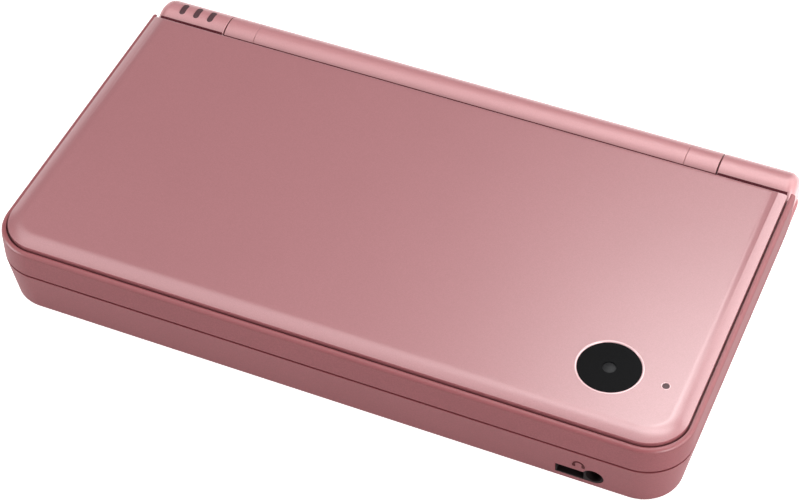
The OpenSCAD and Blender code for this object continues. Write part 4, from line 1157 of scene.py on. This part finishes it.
pen = {
    "tipRadius": 0.8, "tipLong": 1.5, "tipStraight": 0.6, "tipEnd": 0.45,
    "coneLong": 5.5, "coneStart": 0.96,
    "capLong": 4.5,
    "edge": 0.5,
    "grip": 0.2, "gripWide": 0.45, "gripStep": 1.1, "gripCount": 4,
}


def makeStylus():
    low, high = nodeBox("stylus")
    middle = nodeMiddle("stylus")
    place = (middle.y, middle.z)
    radius = (high.z - low.z) / 2
    body = startRod("stylus", "X", place, low.x + pen["tipLong"] + pen["coneLong"], high.x, radius)
    bevelEdges(body, atAcross(high.x), pen["edge"], 5)
    selectFaces(body, lambda normal: normal.x < -0.9)
    # The end face is drawn out to the tip: step towards the tip, then share of the size
    straight = pen["tipLong"] * pen["tipStraight"]
    for step, share in ((0, pen["coneStart"]), (pen["coneLong"], pen["tipRadius"] / radius), (straight, 1),
                        (pen["tipLong"] - straight, pen["tipEnd"])):
        if step:
            bpy.ops.mesh.extrude_region_move(TRANSFORM_OT_translate={"value": (-step, 0, 0)})
        bpy.ops.transform.resize(value=(1, share, share))
    closeMesh()
    keepInside(body)
    # Rings cut round the shaft near the cap
    for index in range(pen["gripCount"]):
        x = high.x - pen["capLong"] - index * pen["gripStep"]
        ring = startRod("ring", "X", place, x - pen["gripWide"] / 2, x + pen["gripWide"] / 2, radius + 1)
        cutAway(ring, startRod("core", "X", place, x - 1, x + 1, radius - pen["grip"]))
        cutAway(body, ring)
    finishPiece(body, "roseMatte", "stylus", "rose_matte", "stylus", smooth=25)
    print("stylus made")


door = {
    "roundShort": 0.02,
    "nailBack": 9.0, "nailWide": 5.0, "nailHigh": 1.0, "nailDeep": 0.45,
}


def makeCardDoor():
    low, high = nodeBox("sd_door")
    middle = nodeMiddle("sd_door").z
    piece = startBlock("sdDoor", low, high)
    bevelEdges(piece, runsAcross, (high.z - low.z) / 2 - door["roundShort"], 8)
    keepInside(piece)
    start = high.y - door["nailBack"]
    cutAway(piece, startBlock("nail", (halfWidth - leanAt(middle) - door["nailDeep"], start,
                                       middle - door["nailHigh"] / 2),
                              (far, start + door["nailWide"], middle + door["nailHigh"] / 2)))
    finishPiece(piece, "roseMatte", "sd_door", "rose_matte", "sd_door")
    print("card door made")


underside = {
    "coverEdge": 0.25, "coverCorner": 1.5,
    "lineStart": 6.0, "lineHalf": 9.0, "lineDeep": 0.2, "lineWide": 0.6, "lineStep": 1.8,
    "lineCount": 5,
    "screwReach": 1.6,
    "coverScrewReach": 1.55, "coverScrewGap": 0.15, "coverScrewDepth": 1.1,
    "footReach": 3.5, "footRadius": 3.45, "footEdge": 0.35,
}


def makeBatteryCover():
    low, high = nodeBox("battery_cover")
    middle = nodeMiddle("battery_cover")
    half = underside["lineHalf"]
    piece = padBlock("batteryCover", middle.xy, (high.x - low.x, high.y - low.y), underside["coverCorner"],
                     low.z, high.z)
    bevelEdges(piece, atHeight(low.z), underside["coverEdge"], 3)
    for index in range(underside["lineCount"]):
        y = low.y + underside["lineStart"] + index * underside["lineStep"]
        cutAway(piece, startBlock("line", (middle.x - half, y, 0),
                                  (middle.x + half, y + underside["lineWide"],
                                   low.z + underside["lineDeep"])))
    screwLow, screwHigh = nodeBox("battery_cover_screws")
    reach = underside["coverScrewReach"]
    for x in (screwLow.x + reach, screwHigh.x - reach):
        cutAway(piece, startRod("headRoom", "Z", (x, (screwLow.y + screwHigh.y) / 2), 0,
                                underside["coverScrewDepth"], reach + underside["coverScrewGap"], 32))
    finishPiece(piece, "roseMatte", "base", "rose_matte", "battery_cover")
    print("battery cover made")


def makeFeet():
    piece = cornerPads("rubber_feet", underside["footReach"], underside["footRadius"], 64,
                       underside["footEdge"], 4)
    finishPiece(piece, "greyRubber", "base", "rubber_grey", "rubber_feet")
    print("feet made")


makeLidPlate()
makePaintedShadeStrips()
makeLidRim()
makeHingeCover()
makeHousings()
makeCamera()
makeBaseShell()
makeHeadphoneMark()
makeHeadphoneJack()
makeLidBezel()
makeBumpers()
makeControlFace()
makeButtons()
makeCross()
makeVolumeButton("volume_up_button")
makeVolumeButton("volume_down_button")
makeTriggers()
makeStylus()
makeCardDoor()
makeBatteryCover()
makeFeet()


studio = {
    "floorSize": 12, "floorDrop": 0.00002, "floorTone": 0.8, "floorGlow": 0.8,
    "worldTone": (0.92, 0.92, 0.93, 1), "worldLight": 0.29,
    "lamps": {
        "backSoft": {"place": (-0.03, 0.57, 0.87), "size": (0.2, 0.2), "power": 0.9},
        "ceiling": {"place": (-0.08, 0, 0.9), "aim": (-0.08, 0, 0), "size": (1.65, 0.82), "power": 5.2},
        "cornerSoft": {"place": (0.12, 0.22, 0.88), "aim": (0.12, 0.22, 0), "size": (0.5, 0.3),
                       "power": 1.25},
        "rearFill": {"place": (0.12, 0.62, 0.82), "size": (0.3, 0.25), "power": 0.75},
        "rearRight": {"place": (0.55, 0.65, 0.5), "size": (0.7, 0.6), "power": 3.3},
        "rearLeft": {"place": (-0.75, 0.65, 0.25), "size": (0.5, 0.3), "power": 0.4},
        "rightLow": {"place": (0.5, -0.3, 0.16), "size": (0.25, 0.25), "power": 2.1},
        "rightSide": {"place": (0.6, 0.05, 0.2), "size": (0.3, 0.3), "power": 1.3},
        "frontTop": {"place": (-0.2, -0.75, 0.62), "size": (0.6, 0.15), "power": 0.5},
        "leftLow": {"place": (-0.45, -0.25, 0.12), "size": (0.25, 0.25), "power": 1.5},
    },
}


def makeFloor():  # pale paint that also glows for the camera and in reflections
    clearSelection()
    bpy.ops.mesh.primitive_plane_add(size=studio["floorSize"], location=(0, 0, -studio["floorDrop"]))
    floor = bpy.context.object
    floor.name = "floor"
    material = bpy.data.materials.new("paleFloor")
    material.use_nodes = True
    tree = material.node_tree
    tree.nodes.remove(tree.nodes["Principled BSDF"])
    paint = addNode(tree, "BsdfDiffuse", {"Color": (studio["floorTone"],) * 3 + (1,)})
    rays = addNode(tree, "LightPath", {}).outputs
    seen = addNode(tree, "Math", {0: rays["Is Camera Ray"], 1: rays["Is Glossy Ray"]}, operation="MAXIMUM")
    power = addNode(tree, "Math", {0: seen.outputs[0], 1: studio["floorGlow"]}, operation="MULTIPLY")
    glow = addNode(tree, "Emission", {"Strength": power.outputs[0]})
    both = addNode(tree, "AddShader", {0: paint.outputs[0], 1: glow.outputs[0]})
    fillNode(tree, tree.nodes["Material Output"], {"Surface": both.outputs[0]})
    floor.data.materials.append(material)


def makeWorld():  # soft light on the object, plain white behind it
    world = bpy.data.worlds.new("studioWorld")
    bpy.context.scene.world = world
    world.use_nodes = True
    tree = world.node_tree
    light = tree.nodes["Background"]
    fillNode(tree, light, {"Color": studio["worldTone"], "Strength": studio["worldLight"]})
    white = addNode(tree, "Background", {"Color": (1, 1, 1, 1), "Strength": 1})
    rays = addNode(tree, "LightPath", {}).outputs
    choice = addNode(tree, "MixShader", {0: rays["Is Camera Ray"], 1: light.outputs[0], 2: white.outputs[0]})
    fillNode(tree, tree.nodes["World Output"], {"Surface": choice.outputs[0]})


def makeLamps():
    for name, lamp in studio["lamps"].items():
        clearSelection()
        bpy.ops.object.light_add(type="AREA", location=lamp["place"])
        light = bpy.context.object
        light.name = name
        light.data.energy = lamp["power"]
        light.data.shape = "RECTANGLE"
        light.data.size, light.data.size_y = lamp["size"]
        towards = Vector(lamp.get("aim", (0, 0, 0.01))) - Vector(lamp["place"])
        light.rotation_euler = towards.to_track_quat("-Z", "Y").to_euler()
    print("studio made")


viewpoint = {
    "place": (0.145088, -0.333957, 0.396521),
    "turn": (42.87246, 0.57096, 22.93983),
    "lens": 105.942,
    "sensor": 36.0,
}


def makeViewpoint():
    clearSelection()
    bpy.ops.object.camera_add(location=viewpoint["place"], rotation=[radians(a) for a in viewpoint["turn"]])
    camera = bpy.context.object
    camera.data.sensor_width = viewpoint["sensor"]
    camera.data.lens = viewpoint["lens"]
    camera.data.clip_start = 0.01
    bpy.context.scene.camera = camera
    bpy.context.scene.view_settings.view_transform = "Standard"


makeFloor()
makeWorld()
makeLamps()
makeViewpoint()


print("all pieces made")
